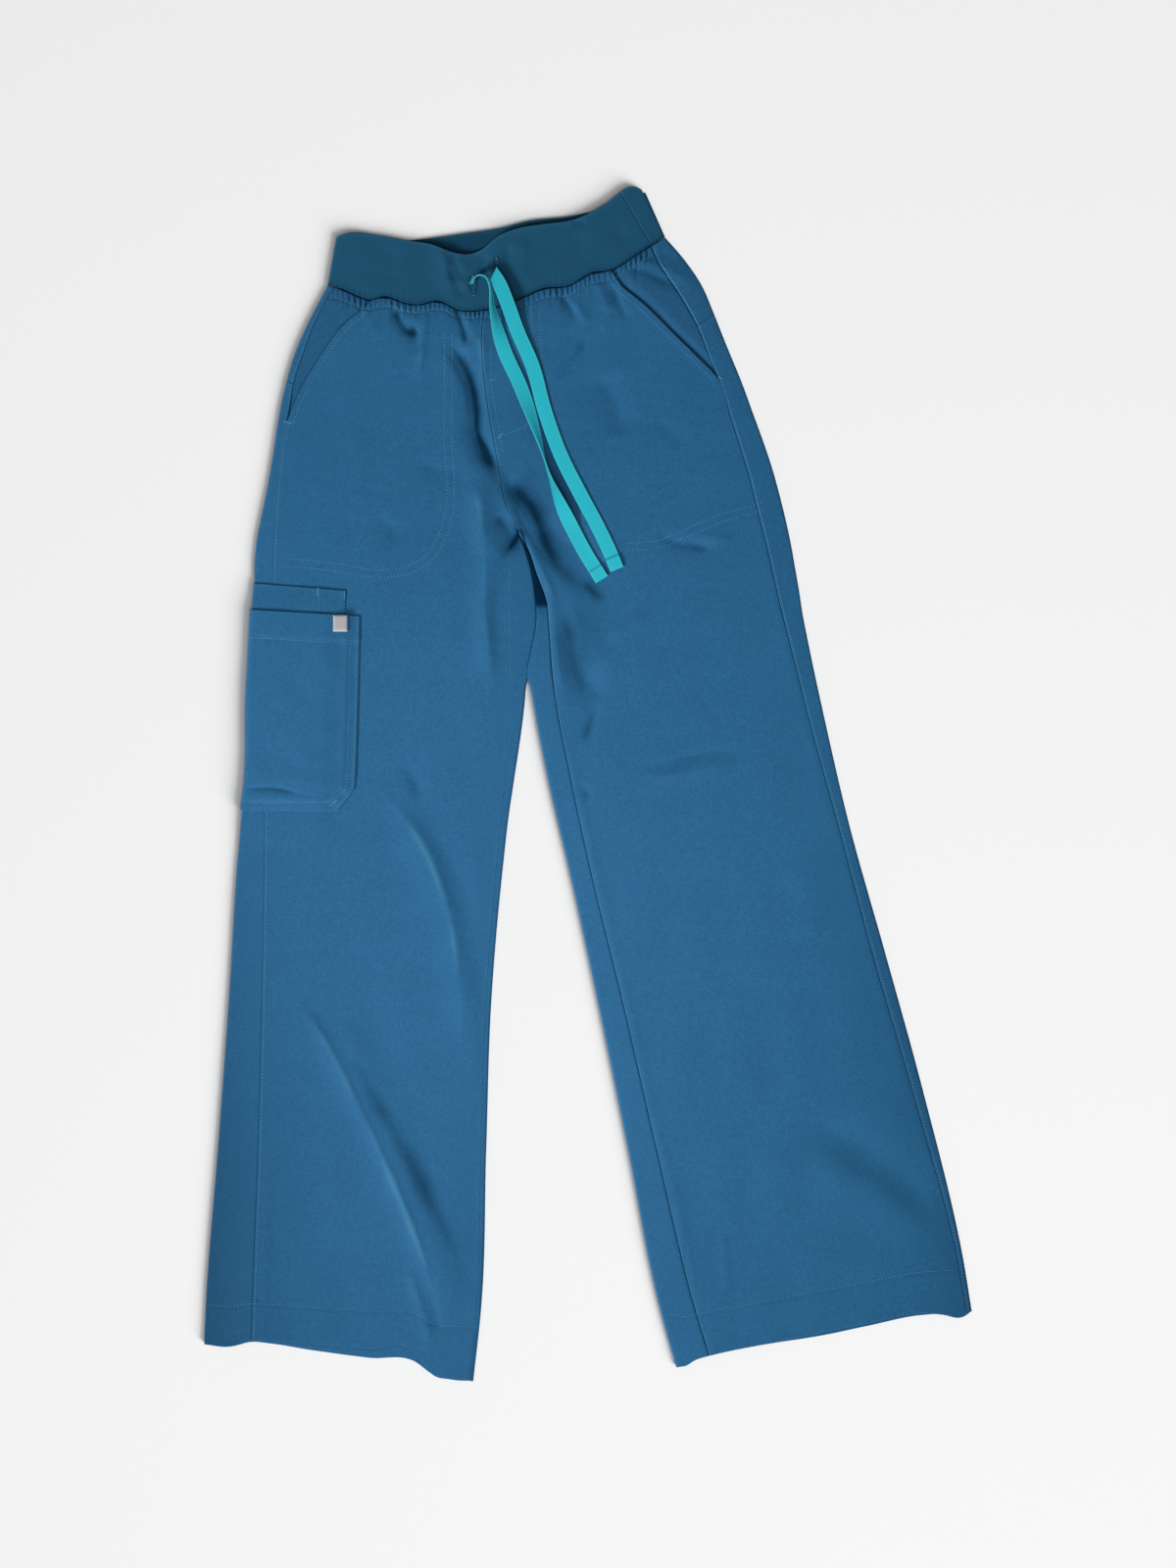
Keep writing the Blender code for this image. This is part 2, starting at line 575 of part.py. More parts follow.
def facing_stops(leg, at):
    """Columns of a hip facing's row with their depth below the top layer.

    The facing starts at the side seam, sinks towards the pocket mouth and tucks under the front panel.
    """
    side = leg.line("side", at)
    mouth = leg.line("mouth", at)
    start = toward(side, mouth, SEAM_GAP / 2)
    tuck = toward(mouth, leg.line("seam", at), FACING_TUCK)
    width = hypot(*(mouth - start))
    stops = []
    for k in range(FACING_COLUMNS):
        part = k / (FACING_COLUMNS - 1)
        sunk = float(step_between(FACING_SLOPE, 0.0, width * (1 - part)))
        stops.append((mix(start, mouth, part), FACING_DEPTH * float(mix(FACING_SIDE_SHARE, 1.0, sunk))))
    return stops + [(tuck, FACING_DEPTH)]


def gather_height(k, steps, fade):
    """Height of the gathers at one of the fine steps of a row: waves of uneven height, flat at both ends."""
    wave = sin(2 * pi * k / GATHER_STEPS)
    uneven = 1 + GATHER_UNEVENNESS * (sin(GATHER_BEAT * k / GATHER_STEPS) - 1)
    ends = min(1.0, k / GATHER_STEPS, (steps - k) / GATHER_STEPS)
    return GATHER_HEIGHT * fade * wave * uneven * ends


def top_row(leg, stops, at, split, fade):
    """A row of a top-layer piece. Near the waist each of its columns is split for the gathers."""
    places = stops(leg, at)
    steps = (len(places) - 1) * split
    row = []
    for k in range(steps + 1):
        first = min(k // split, len(places) - 2)
        part = k / split - first
        point = leg.top_point(mix(places[first][0], places[first + 1][0], part), at)
        point[2] += gather_height(k, steps, fade) - mix(places[first][1], places[first + 1][1], part)
        row.append(point)
    return row


def top_rows(leg, stops, end=None):
    """Rows of a top-layer piece from the waist down, gathered at the waist seam."""
    rows = [top_row(leg, stops, SEAM_GAP, GATHER_SPLIT, 1.0)]
    rows.append(top_row(leg, stops, GATHER_DEPTH, GATHER_SPLIT, GATHER_FADE))
    rows += [top_row(leg, stops, at, 1, 0.0) for at in leg.rows(2 * GATHER_DEPTH, end)]
    return rows


def make_front(leg, side, materials, collection):
    make_shell(f"front_{side}", top_rows(leg, front_stops), CLOTH_WALL, materials["body"], collection)


def make_facing(leg, side, materials, collection):
    rows = top_rows(leg, facing_stops, leg.place("mouth low"))
    make_shell(f"hip_facing_{side}", rows, CLOTH_WALL, materials["facing"], collection)


# Waistband

def band_corners(up):
    """Left and right folded edges of the waistband at a height up the band."""
    left = mix((WAIST_SEAM[0][0], WAIST_SEAM[0][1] + SEAM_GAP), BAND_TOP_FRONT[0], up)
    right = mix((WAIST_SEAM[-1][0], WAIST_SEAM[-1][1] + SEAM_GAP), BAND_TOP_FRONT[-1], up)
    return left, right


def band_point(across, up, layer):
    """Point of the waistband, by its place across and up the band."""
    low_x = WAIST_SEAM[0][0] + across * (WAIST_SEAM[-1][0] - WAIST_SEAM[0][0])
    high_x = BAND_TOP_FRONT[0][0] + across * (BAND_TOP_FRONT[-1][0] - BAND_TOP_FRONT[0][0])
    if layer == "front":
        low = (low_x, float(table_y(WAIST_SEAM, low_x)) + SEAM_GAP)
        high = (high_x, float(table_y(BAND_TOP_FRONT, high_x)))
        x, y = mix(low, high, up)
        return np.array([x, y, float(band_height(across, up))])
    outer = RIGHT.sections[0].outer if low_x < RIGHT.sections[0].seam[0] else LEFT.sections[0].outer
    centre = RIGHT.sections[0].seam
    straight = centre[1] + (outer[1] - centre[1]) * (low_x - centre[0]) / (outer[0] - centre[0])
    low = (low_x, straight + SEAM_GAP)
    high = (high_x, float(table_y(BAND_TOP_BACK, high_x)))
    x, y = mix(low, high, up)
    return np.array([x, y, 0.0])


def seam_across(up):
    """Place across the band of the side seam that shows on its front."""
    x = mix(BAND_SIDE_SEAM[0][0], BAND_SIDE_SEAM[1][0], up)
    left, right = band_corners(up)
    return float((x - left[0]) / (right[0] - left[0]))


def band_rows(make_row):
    return [make_row(1 - k / BAND_ROWS) for k in range(BAND_ROWS + 1)]


def band_front_row(up):
    """From the underside, round the left fold and over the front to the side seam."""
    left, right = band_corners(up)
    width = hypot(*(right - left))
    turn = fold_points(left, right, 0.0, BAND_FOLD)
    under = band_point(BAND_WRAP / width, up, "back")
    end = seam_across(up) - SEAM_GAP / 2 / width
    shown = [k / BAND_COLUMNS for k in range(1, BAND_SEAM_COLUMN)] + [end]
    return [under] + turn + [band_point(across, up, "front") for across in shown]


def band_back_row(up):
    """From the underside by the left fold, over the right fold to the side seam."""
    left, right = band_corners(up)
    width = hypot(*(right - left))
    fold = BAND_FOLD / width
    start = (BAND_WRAP + SEAM_GAP) / width
    stops = [mix(start, 1 - fold, k / UNDER_BAND_COLUMNS) for k in range(UNDER_BAND_COLUMNS)]
    turn = fold_points(right, left, 0.0, BAND_FOLD)
    end = seam_across(up) + SEAM_GAP / 2 / width
    under = [band_point(float(across), up, "back") for across in stops]
    shown = [mix(1 - fold, end, k / BAND_STRIP_COLUMNS) for k in range(1, BAND_STRIP_COLUMNS + 1)]
    return under + turn + [band_point(float(across), up, "front") for across in shown]


def make_band(materials, collection):
    make_shell("waistband_front", band_rows(band_front_row), BAND_WALL, materials["band"], collection)
    make_shell("waistband_back", band_rows(band_back_row), BAND_WALL, materials["band"], collection)


# Cargo pocket

def move_out(rows, distances):
    """Rows of points moved out along the surface's normals, each column by its own distance."""
    grid = np.array(rows)
    down = np.gradient(grid, axis=0)
    across = np.gradient(grid, axis=1)
    normals = np.cross(down, across)
    normals /= np.linalg.norm(normals, axis=2, keepdims=True)
    moved = grid + normals * np.asarray(distances)[None, :, None]
    moved[:, :, 2] = np.maximum(moved[:, :, 2], 0.0)
    return moved


def pocket_ground(at, columns):
    """The leg's own points below the pocket, from its turned-under edge round to the front."""
    turn = outer_turn(RIGHT, at)
    turn[0] = RIGHT.top_point(RIGHT.line("side", at), at)
    flat = under_flat(RIGHT, at, False)
    front = top_row(RIGHT, front_stops, at, 1, 0.0)
    return [flat[1]] + turn[::-1] + front[1:columns + 1]


def make_pocket(materials, collection):
    """Outer layer of the cargo pocket. Its lower front corner is cut off."""
    layer = CLOTH_WALL + LAYER_GAP
    places = RIGHT.rows(RIGHT.place("pocket mouth"), RIGHT.place("pocket foot"))
    rows = [pocket_ground(at, POCKET_COLUMNS) for at in places]
    turn_columns = FOLD_STEPS + 2
    distances = [layer + layer * step_between(1, turn_columns - 2, k) for k in range(len(rows[0]))]
    grid = move_out(rows, distances)
    grid[-1][-1] = mix(grid[-2][-1], grid[-1][-2], 0.5)
    make_shell("cargo_pocket", grid.tolist(), CLOTH_WALL, materials["body"], collection)
    return grid


def make_pen_pocket(materials, collection):
    """Pen layer: it shows above the outer layer's mouth and runs down behind it."""
    places = RIGHT.rows(RIGHT.place("pen mouth"), RIGHT.place("pocket corner"))
    rows = [pocket_ground(at, PEN_COLUMNS)[FOLD_STEPS:] for at in places]
    grid = move_out(rows, [CLOTH_WALL + LAYER_GAP] * len(rows[0]))
    make_shell("cargo_pen_pocket", grid.tolist(), CLOTH_WALL, materials["body"], collection)


def make_tab(pocket, materials, collection):
    """Small woven tab that hangs flat over the pocket's mouth, clear of the pocket's points near it."""
    ground = pocket.reshape(-1, 3)
    near = np.hypot(ground[:, 0] - TAB_CENTRE[0], ground[:, 1] - TAB_CENTRE[1]) < TAB_REACH
    top = ground[near, 2].max() + LAYER_GAP + CLOTH_WALL
    width, height = TAB_SIZE
    rows = []
    for down in (-0.5, 0.0, 0.5):
        y = TAB_CENTRE[1] - height * down
        rows.append([(TAB_CENTRE[0] + width * across, y, top) for across in (-0.5, 0.0, 0.5)])
    make_shell("pocket_tab", rows, CLOTH_WALL, materials["tab"], collection)


# Drawstring

def tape_rows(table):
    """Rows across a ribbon that lies on the cloth and bridges its hollows."""
    points = np.array([(row.x, row.y) for row in table], float)
    knots = np.concatenate(([0.0], np.cumsum(np.hypot(*np.diff(points, axis=0).T))))
    places = np.linspace(0, knots[-1], TAPE_ROWS + 1)
    middle = smooth(knots, points, places)
    lift = smooth(knots, [row.lift for row in table], places)
    roll = np.radians(smooth(knots, [row.roll for row in table], places))
    way = np.gradient(middle, axis=0)
    way /= np.hypot(*way.T)[:, None]
    side = np.stack((way[:, 1], -way[:, 0]), axis=1)
    ground = []
    for spot, aside, ahead in zip(middle, side, way):
        samples = [
            surface_height(*(spot + aside * TAPE_WIDTH * across + ahead * TAPE_SAMPLE_STEP * along))
            for across in TAPE_SAMPLES for along in (-1, 0, 1)
        ]
        ground.append(max(samples))
    span = 2 * TAPE_BRIDGE + 1
    padded = np.pad(ground, 2 * TAPE_BRIDGE, mode="edge")
    highest = np.array([padded[k:k + span].max() for k in range(len(ground) + 2 * TAPE_BRIDGE)])
    level = np.array([highest[k:k + span].mean() for k in range(len(ground))])
    turned = np.abs(np.sin(roll)) * TAPE_WIDTH / 2
    level = level + TAPE_CLEARANCE + TAPE_WALL / 2 + np.maximum(lift, 0) + turned
    rows = []
    for spot, aside, height, angle in zip(middle, side, level, roll):
        row = []
        for across in (-0.5, 0.0, 0.5):
            x, y = spot + aside * TAPE_WIDTH * across * cos(angle)
            row.append((x, y, height + TAPE_WIDTH * across * sin(angle)))
        rows.append(row)
    return rows


def make_tapes(materials, collection):
    for side, table in (("right", TAPE_RIGHT), ("left", TAPE_LEFT)):
        rows = tape_rows(table)
        make_shell(f"drawstring_{side}", rows, TAPE_WALL, materials["tape"], collection, offset=0.0)


def main():
    clear_scene()
    collection = bpy.data.collections.new("scrub_trousers")
    bpy.context.scene.collection.children.link(collection)
    materials = {
        "body": make_material("twill_cloth", BODY_COLOUR, 0.75),
        "band": make_material("waist_knit", BAND_COLOUR, 0.70),
        "facing": make_material("pocket_facing", FACING_COLOUR, 0.78),
        "tape": make_material("drawstring_tape", TAPE_COLOUR, 0.65),
        "tab": make_material("woven_tab", TAB_COLOUR, 0.80),
    }
    for leg, side in ((RIGHT, "right"), (LEFT, "left")):
        make_front(leg, side, materials, collection)
        make_facing(leg, side, materials, collection)
        make_back(leg, side, materials, collection)
    make_band(materials, collection)
    pocket = make_pocket(materials, collection)
    make_pen_pocket(materials, collection)
    make_tab(pocket, materials, collection)
    make_tapes(materials, collection)


main()
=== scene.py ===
from collections import namedtuple
from math import cos, pi, radians, sin

import bpy
import numpy as np
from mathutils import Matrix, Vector
from mathutils.bvhtree import BVHTree


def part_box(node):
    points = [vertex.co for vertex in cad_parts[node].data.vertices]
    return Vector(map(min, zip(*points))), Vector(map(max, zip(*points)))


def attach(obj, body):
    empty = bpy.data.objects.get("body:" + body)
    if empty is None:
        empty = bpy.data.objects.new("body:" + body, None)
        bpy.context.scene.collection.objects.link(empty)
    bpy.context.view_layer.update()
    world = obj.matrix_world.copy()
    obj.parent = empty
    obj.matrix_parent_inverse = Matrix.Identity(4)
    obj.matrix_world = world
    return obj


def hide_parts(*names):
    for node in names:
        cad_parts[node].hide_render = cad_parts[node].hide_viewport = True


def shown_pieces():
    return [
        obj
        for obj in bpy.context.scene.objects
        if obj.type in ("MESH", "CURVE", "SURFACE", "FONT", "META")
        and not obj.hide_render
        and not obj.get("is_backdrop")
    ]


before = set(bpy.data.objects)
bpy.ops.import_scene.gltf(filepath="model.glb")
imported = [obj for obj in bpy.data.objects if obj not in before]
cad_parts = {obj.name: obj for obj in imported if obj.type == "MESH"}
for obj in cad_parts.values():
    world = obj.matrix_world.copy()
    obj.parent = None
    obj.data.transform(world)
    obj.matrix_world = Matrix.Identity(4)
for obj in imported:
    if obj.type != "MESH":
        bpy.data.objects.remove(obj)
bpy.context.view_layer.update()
mm = 0.001
body = "root"

# camera and light

look = {
    "frameTall": 1.416,  # what the picture's long side takes in, at the table
    "lens": 50,
    "sensor": 36,
    "world": 0.2,
    "softboxes": {  # place, what it faces, size and power
        "ceiling softbox": ((0.5, -1.1, 2.9), (0, 0, 0), 2.2, 30),  # brighter toward the hems
        # over the middle of the cloth, so that it falls off toward the waist and the outer sides
        "softbox over the cloth": ((-0.18, -0.19, 0.74), (-0.18, -0.19, 0), 0.5, 2.8),
    },
    "farLights": {  # where each comes from, its softness in degrees and its strength
        "low key over the cloth": ((-1.0, -1.05, 0.72), 16, 3.7),  # from the hems, so that ridges catch it
        "low light over the floor": ((1.0, -0.9, 0.62), 34, 5.0),  # for soft shadows along the left outlines
        "soft light over the tapes": ((-0.25, -0.35, 1.0), 70, 1.75),
    },
}


def addObject(name, data):
    thing = bpy.data.objects.new(name, data)
    bpy.context.scene.collection.objects.link(thing)
    return thing


def setInputs(node, values):
    for label, value in values.items():
        node.inputs[label].default_value = value


def makeCamera():
    camera = addObject("camera", bpy.data.cameras.new("camera"))
    camera.data.lens = look["lens"]
    camera.data.sensor_width = look["sensor"]
    camera.location = (0, 0, look["frameTall"] * look["lens"] / look["sensor"])
    bpy.context.scene.camera = camera


def makeWorld():
    world = bpy.data.worlds.new("studio")
    world.use_nodes = True
    setInputs(world.node_tree.nodes["Background"], {"Color": (1, 1, 1, 1), "Strength": look["world"]})
    bpy.context.scene.world = world


def placeLight(name, lamp, place, aim=(0, 0, 0)):
    light = addObject(name, lamp)
    light.location = place
    light.rotation_euler = (Vector(aim) - Vector(place)).to_track_quat("-Z", "Y").to_euler()
    return light


def makeSoftbox(name, place, aim, size, power):
    lamp = bpy.data.lights.new(name, "AREA")
    lamp.shape = "DISK"
    lamp.size = size
    lamp.energy = power
    return placeLight(name, lamp, place, aim)


def makeFarLight(name, fromWhere, soft, strength):  # even over the whole garment
    lamp = bpy.data.lights.new(name, "SUN")
    lamp.angle = radians(soft)
    lamp.energy = strength
    return placeLight(name, lamp, tuple(3 * value for value in fromWhere))


makeCamera()
lights = {name: makeSoftbox(name, *row) for name, row in look["softboxes"].items()}
lights.update({name: makeFarLight(name, *row) for name, row in look["farLights"].items()})
makeWorld()
bpy.context.scene.view_settings.view_transform = "Standard"
print("camera and light ready")

# shape tables

# one row for each section across a leg: folded outer edge, side seam, front panel's edge at the pocket mouth,
# centre front seam and then inseam, folded inner edge. None stands for the column before it.
Section = namedtuple("Section", "name outer side mouth seam edge")
Hem = namedtuple("Hem", "x front back")
TapePoint = namedtuple("TapePoint", "x y lift roll")
Crease = namedtuple("Crease", "height leftWidth rightWidth taper path")


def tableOf(kind, *rows):
    return [kind(*row) for row in rows]


def legTable(*rows):
    return [Section(name, outer, side, mouth or side, seam, edge or seam)
            for name, outer, side, mouth, seam, edge in rows]


rightSections = legTable(
    ("waist", (-234.5, 449.5), (-229.5, 448.5), (-195, 443.2), (-94, 427), None),
    ("mouth high", (-252, 416), (-247, 415.5), (-221, 413.8), (-95.5, 405), None),
    ("mouth middle", (-263, 391), (-256, 390.4), (-238.5, 389.7), (-95, 382), None),
    ("yoke", (-271.5, 364), (-265.5, 360.5), (-256.5, 361), (-91.5, 350), None),
    ("mouth low", (-276, 345), (-268, 344.4), (-264.5, 344.2), (-89, 333), None),
    ("mouth end", (-279.5, 326), (-271.5, 325.6), None, (-86, 316), None),
    ("hip", (-285, 290), (-277.5, 289.4), None, (-79.5, 280), None),
    ("rise", (-290, 262), (-280.5, 261.5), None, (-74, 252), None),
    ("crotch", (-295, 238), (-282, 237.5), None, (-63.5, 229), None),
    ("below crotch", (-298.5, 220), (-283, 219.4), None, (-71, 208), (-55.5, 207)),
    ("upper thigh", (-300.5, 202), (-283.6, 200.7), None, (-72, 190), (-51, 190)),
    ("pen mouth", (-301, 181), (-284.2, 179.6), None, (-72, 162), (-47.3, 162)),
    ("pocket mouth", (-302.6, 157), (-285, 156), None, (-71.8, 143), (-47.3, 143)),
    ("thigh high", (-303.8, 135), (-285.6, 134), None, (-71.8, 123), (-51, 123)),
    ("thigh middle", (-304.9, 112), (-286.4, 111.3), None, (-71.8, 103), (-55, 103)),
    ("leg fork", (-306.4, 87), (-287.2, 86.4), None, (-72, 80), (-56.5, 80)),
    ("pocket corner", (-308.8, -3), (-290.2, -3.2), None, (-75.5, -5), (-68, -5)),
    ("pocket foot", (-311.5, -24), (-291, -24.1), None, (-78, -25), (-71, -25)),
    ("knee", (-315.5, -64), (-291.4, -64.1), None, (-81.5, -66), (-75.8, -66)),
    ("shin", (-323.5, -190), (-293.4, -190.5), None, (-92, -196), (-87.2, -196)),
    ("calf", (-333, -320), (-296.6, -321.5), None, (-96.5, -330), (-91.8, -330)),
    ("hem stitch", (-344.2, -462), (-301.6, -463.8), None, (-101.5, -480), (-97, -480)),
    ("hem", (-346.2, -505), (-302.8, -509.2), None, (-108, -537.5), (-103.5, -538.5)),
)
leftSections = legTable(
    ("waist", (69.5, 493), (57, 487.7), (21, 473.4), (-94, 427), None),
    ("mouth high", (86, 474), (66, 466), (33, 453.1), (-95.5, 405), None),
    ("mouth middle", (101, 452.5), (80.5, 446), (50.5, 433.6), (-95, 382), None),
    ("yoke", (113.5, 424.5), (98.5, 413.5), (77, 406.4), (-91.5, 350), None),
    ("mouth low", (124, 398), (107.5, 390), (97, 386.9), (-89, 333), None),
    ("mouth end", (137, 366.5), (118, 364.5), None, (-86, 316), None),
    ("hip", (149, 334), (128.5, 331), None, (-79.5, 280), None),
    ("rise", (159.5, 305), (138, 301), None, (-74, 252), None),
    ("crotch", (167, 282), (145, 278), None, (-63.5, 229), None),
    ("below crotch", (172.5, 262), (150, 258), None, (-53.2, 209.5), (-54.9, 207)),
    ("upper thigh", (177.5, 242), (155, 238), None, (-46.8, 190.5), (-50.2, 190)),
    ("pen level", (183.5, 214), (162, 210.5), None, (-37.2, 163), (-46.5, 162)),
    ("pocket level", (187, 194), (166.5, 190.5), None, (-35.5, 145), (-46.5, 143)),
    ("thigh high", (190.5, 174), (171, 170.5), None, (-34, 126), (-50.2, 123)),
    ("thigh middle", (193.5, 154), (175.7, 151), None, (-32.6, 106), (-54, 103)),
    ("leg fork", (198, 131), (181.5, 128.5), None, (-30, 83), (-50.3, 80)),
    ("lower thigh", (214.5, 54), (201, 51.5), None, (-15, 3), (-35, 0)),
    ("knee", (233.5, -28), (223.5, -30), None, (2.5, -78), (-16, -81)),
    ("shin", (268, -152), (257, -155), None, (33.5, -205), (11.5, -208)),
    ("calf", (301, -272), (292, -275), None, (61, -325), (36, -328)),
    ("hem stitch", (339.5, -434), (334.8, -436.5), None, (98, -479), (67, -481)),
    ("hem", (346.2, -475.5), (341.5, -476.8), None, (109.5, -519.5), (79.5, -526)),
)
waistSeam = (
    (-234.5, 449.5), (-225, 447.5), (-215, 443), (-204, 438), (-196, 436), (-184, 439), (-163, 432.5),
    (-153, 431.5), (-135, 435), (-116, 426.5), (-94, 427), (-61, 437), (-41, 446), (-16, 449), (4, 460.5),
    (20, 462.5), (44, 477), (57, 485.5), (69.5, 493),
)
bandTopFront = (
    (-227, 493), (-219, 496), (-186, 494), (-164, 490), (-144, 487), (-119, 478.5), (-108, 477.5), (-97, 481),
    (-80, 494), (-62, 501), (-43, 504), (-6, 511), (14, 522), (44, 538), (52, 533),
)
bandTopBack = (
    (-227, 493), (-200, 491), (-162, 490.5), (-138, 493), (-110, 497), (-80, 501.5), (-54, 508), (-13, 513),
    (14, 520), (44, 535), (52, 533),
)
rightHem = tableOf(
    Hem,
    (-346.2, -505, -505), (-324, -508, -508), (-303, -503, -503.5),
    (-287, -503, -505), (-249, -506, -511), (-197, -510, -518),
    (-155, -513.5, -522), (-141, -532, -532.5), (-124, -537, -537),
    (-110, -538.2, -538.2), (-103.5, -538, -538),
)
leftHem = tableOf(
    Hem,
    (79, -522, -522), (83.5, -525, -525), (98, -519, -519), (113, -515, -515),
    (168, -503.5, -504.5), (210, -494.5, -498), (253, -485.5, -489),
    (300, -476.5, -479.5), (320, -478, -478.5), (336, -480.5, -480.5),
    (348, -474, -474),
)
tapeRight = tableOf(
    TapePoint,
    (-105, 449, 0.3, 62), (-102.5, 455, 1, 68), (-96.5, 457, 2.5, 74), (-90.5, 454, 2.5, 75),
    (-87.5, 446, 1.5, 72), (-86.3, 432, 0.8, 62), (-82, 412, 0.2, 38), (-75.8, 391, 0, 6), (-61, 358, 0, 8),
    (-51, 331, 0, 36), (-42.5, 304, 0, 64), (-36.5, 283, 0, 93), (-30.5, 266, 0, 122), (-22.5, 247, 0, 152),
    (-14, 230, 0, 178), (-4, 211, 0, 180), (12.5, 184, 0, 180),
)
tapeLeft = tableOf(
    TapePoint,
    (-84.9, 458.8, 2.6, 0), (-79, 448, 4, 0), (-73, 433, 4, 0), (-63.5, 407, 1.8, 0), (-50, 376, 0.3, 0),
    (-39, 336, 0, 0), (-25, 297, 0, 0), (-7, 261, 0, 0), (8, 233, 0, 0), (20, 208, 0, 0), (26, 193, 0, 0),
)
bandSideSeam = ((57, 485.5), (29, 530.5))

cloth = {
    "wall": 1.0,
    "seamGap": 0.3,
    "layerGap": 0.3,
    "layerRoom": 0.4,
    "fineRoom": 0.15,  # what the smaller creases leave of it
    "fold": 2.0,  # radius of the folded edges
    "crown": 1.7,
    "crownReach": 26,
    "calm": (9, 5),  # smaller creases fade out this near to the outer and the inner fold
    "puff": 2.2,  # the body stands proud below the waistband
    "puffDepth": 26,
    "waistColumns": 32,
    "waistFade": 45,
    "hemFade": 45,
    "foldTaper": 0.22,
    "waistRoll": 0.95,
    "hemRoll": 0.6,
    "pocketLift": 1.3,  # the cargo pocket's turned-under part lifts the leg's edge
    "liftReach": (66, 84),
    "liftFoot": (-64, -24),
    "liftMouth": (157, 181),
}


def smooth(knots, values, at):  # cubic curve through a table
    knots = np.asarray(knots, float)
    values = np.asarray(values, float)
    step = np.diff(knots)
    column = (-1,) + (1,) * (values.ndim - 1)
    slope = np.diff(values, axis=0) / step.reshape(column)
    share = (step[:-1] / (step[:-1] + step[1:])).reshape(column)
    tangent = np.concatenate((slope[:1], slope[:-1] * (1 - share) + slope[1:] * share, slope[-1:]))
    at = np.clip(np.asarray(at, float), knots[0], knots[-1])
    first = np.clip(np.searchsorted(knots, at, side="right") - 1, 0, len(step) - 1)
    shape = np.shape(at) + (1,) * (values.ndim - 1)
    part = ((at - knots[first]) / step[first]).reshape(shape)
    width = step[first].reshape(shape)
    start = values[first] * (1 + 2 * part) * (1 - part) ** 2
    end = values[first + 1] * (3 - 2 * part) * part ** 2
    bend = tangent[first] * part * (1 - part) ** 2 - tangent[first + 1] * (1 - part) * part ** 2
    return start + end + bend * width


def stepBetween(low, high, value):
    part = np.clip((np.asarray(value, float) - low) / (high - low), 0.0, 1.0)
    return part * part * (3 - 2 * part)


def mix(first, second, part):
    return np.asarray(first, float) * (1 - part) + np.asarray(second, float) * part


def unit(vectors):
    vectors = np.asarray(vectors, float)
    return vectors / np.maximum(np.linalg.norm(vectors, axis=-1, keepdims=True), 1e-9)


def walked(row):  # distance walked along a row of points
    return np.concatenate(([0.0], np.cumsum(np.linalg.norm(np.diff(row, axis=0), axis=1))))


def between(start, end, part):  # points at shares of the way from one line of points to another
    return start[:, None, :] + (end - start)[:, None, :] * part


def tableY(table, x):
    return smooth([row[0] for row in table], [row[1] for row in table], x)


def fade(distance, most, reach):
    return most * np.exp(-distance / reach)


def hump(distance, most, width):
    return most * np.exp(-(distance / width) ** 2)


def grown(value, most, low, high):  # nothing at low, the most at high
    return most * stepBetween(low, high, value)


def waistY(x):  # straight between the waistband's columns, as its seam is
    columns = np.linspace(waistSeam[0][0], waistSeam[-1][0], cloth["waistColumns"] + 1)
    return np.interp(x, columns, tableY(waistSeam, columns))


def curveThrough(path, step=5.0):  # the path's points, rounded and closer together
    points = np.array(path, float)
    knots = walked(points)
    places = np.linspace(0, knots[-1], max(int(knots[-1] / step), 2) + 1)
    return smooth(knots, points, places)


class Leg:
    def __init__(self, side, sections, hem):
        self.side = side
        self.sections = sections
        self.hem = hem
        self.knots = walked([mix(row.outer, row.seam, 0.5) for row in sections])
        self.length = float(self.knots[-1])
        self.crotch = self.place("crotch")
        self.inward = 1.0 if sections[0].outer[0] < sections[0].seam[0] else -1.0

    def place(self, name):
        return float(self.knots[[row.name for row in self.sections].index(name)])

    def line(self, column, at):
        return smooth(self.knots, [getattr(row, column) for row in self.sections], at)

    def edgeX(self, column, y):
        points = np.array([getattr(row, column) for row in self.sections])[::-1]
        return smooth(points[:, 1], points[:, 0], y)

    def follow(self, points, at, layer):  # moves rows so that they keep to the waist seam and the hem
        at = np.asarray(at, float).reshape(-1, 1)
        x = points[..., 0]
        y = points[..., 1].copy()
        if layer == "front":
            straight = lineY(self.sections[0].outer, self.sections[0].seam, x)
            y += (waistY(x) - straight) * hump(at, 1, cloth["waistFade"])
        curve = smooth([row.x for row in self.hem], [getattr(row, layer) for row in self.hem], x)
        straight = lineY(self.sections[-1].outer, self.sections[-1].edge, x)
        y += (curve - straight) * hump(self.length - at, 1, cloth["hemFade"])
        return x, y


def lineY(first, last, x):
    return first[1] + (last[1] - first[1]) * (x - first[0]) / (last[0] - first[0])


right = Leg("right", rightSections, rightHem)
left = Leg("left", leftSections, leftHem)
legs = (right, left)


# relief of the cloth

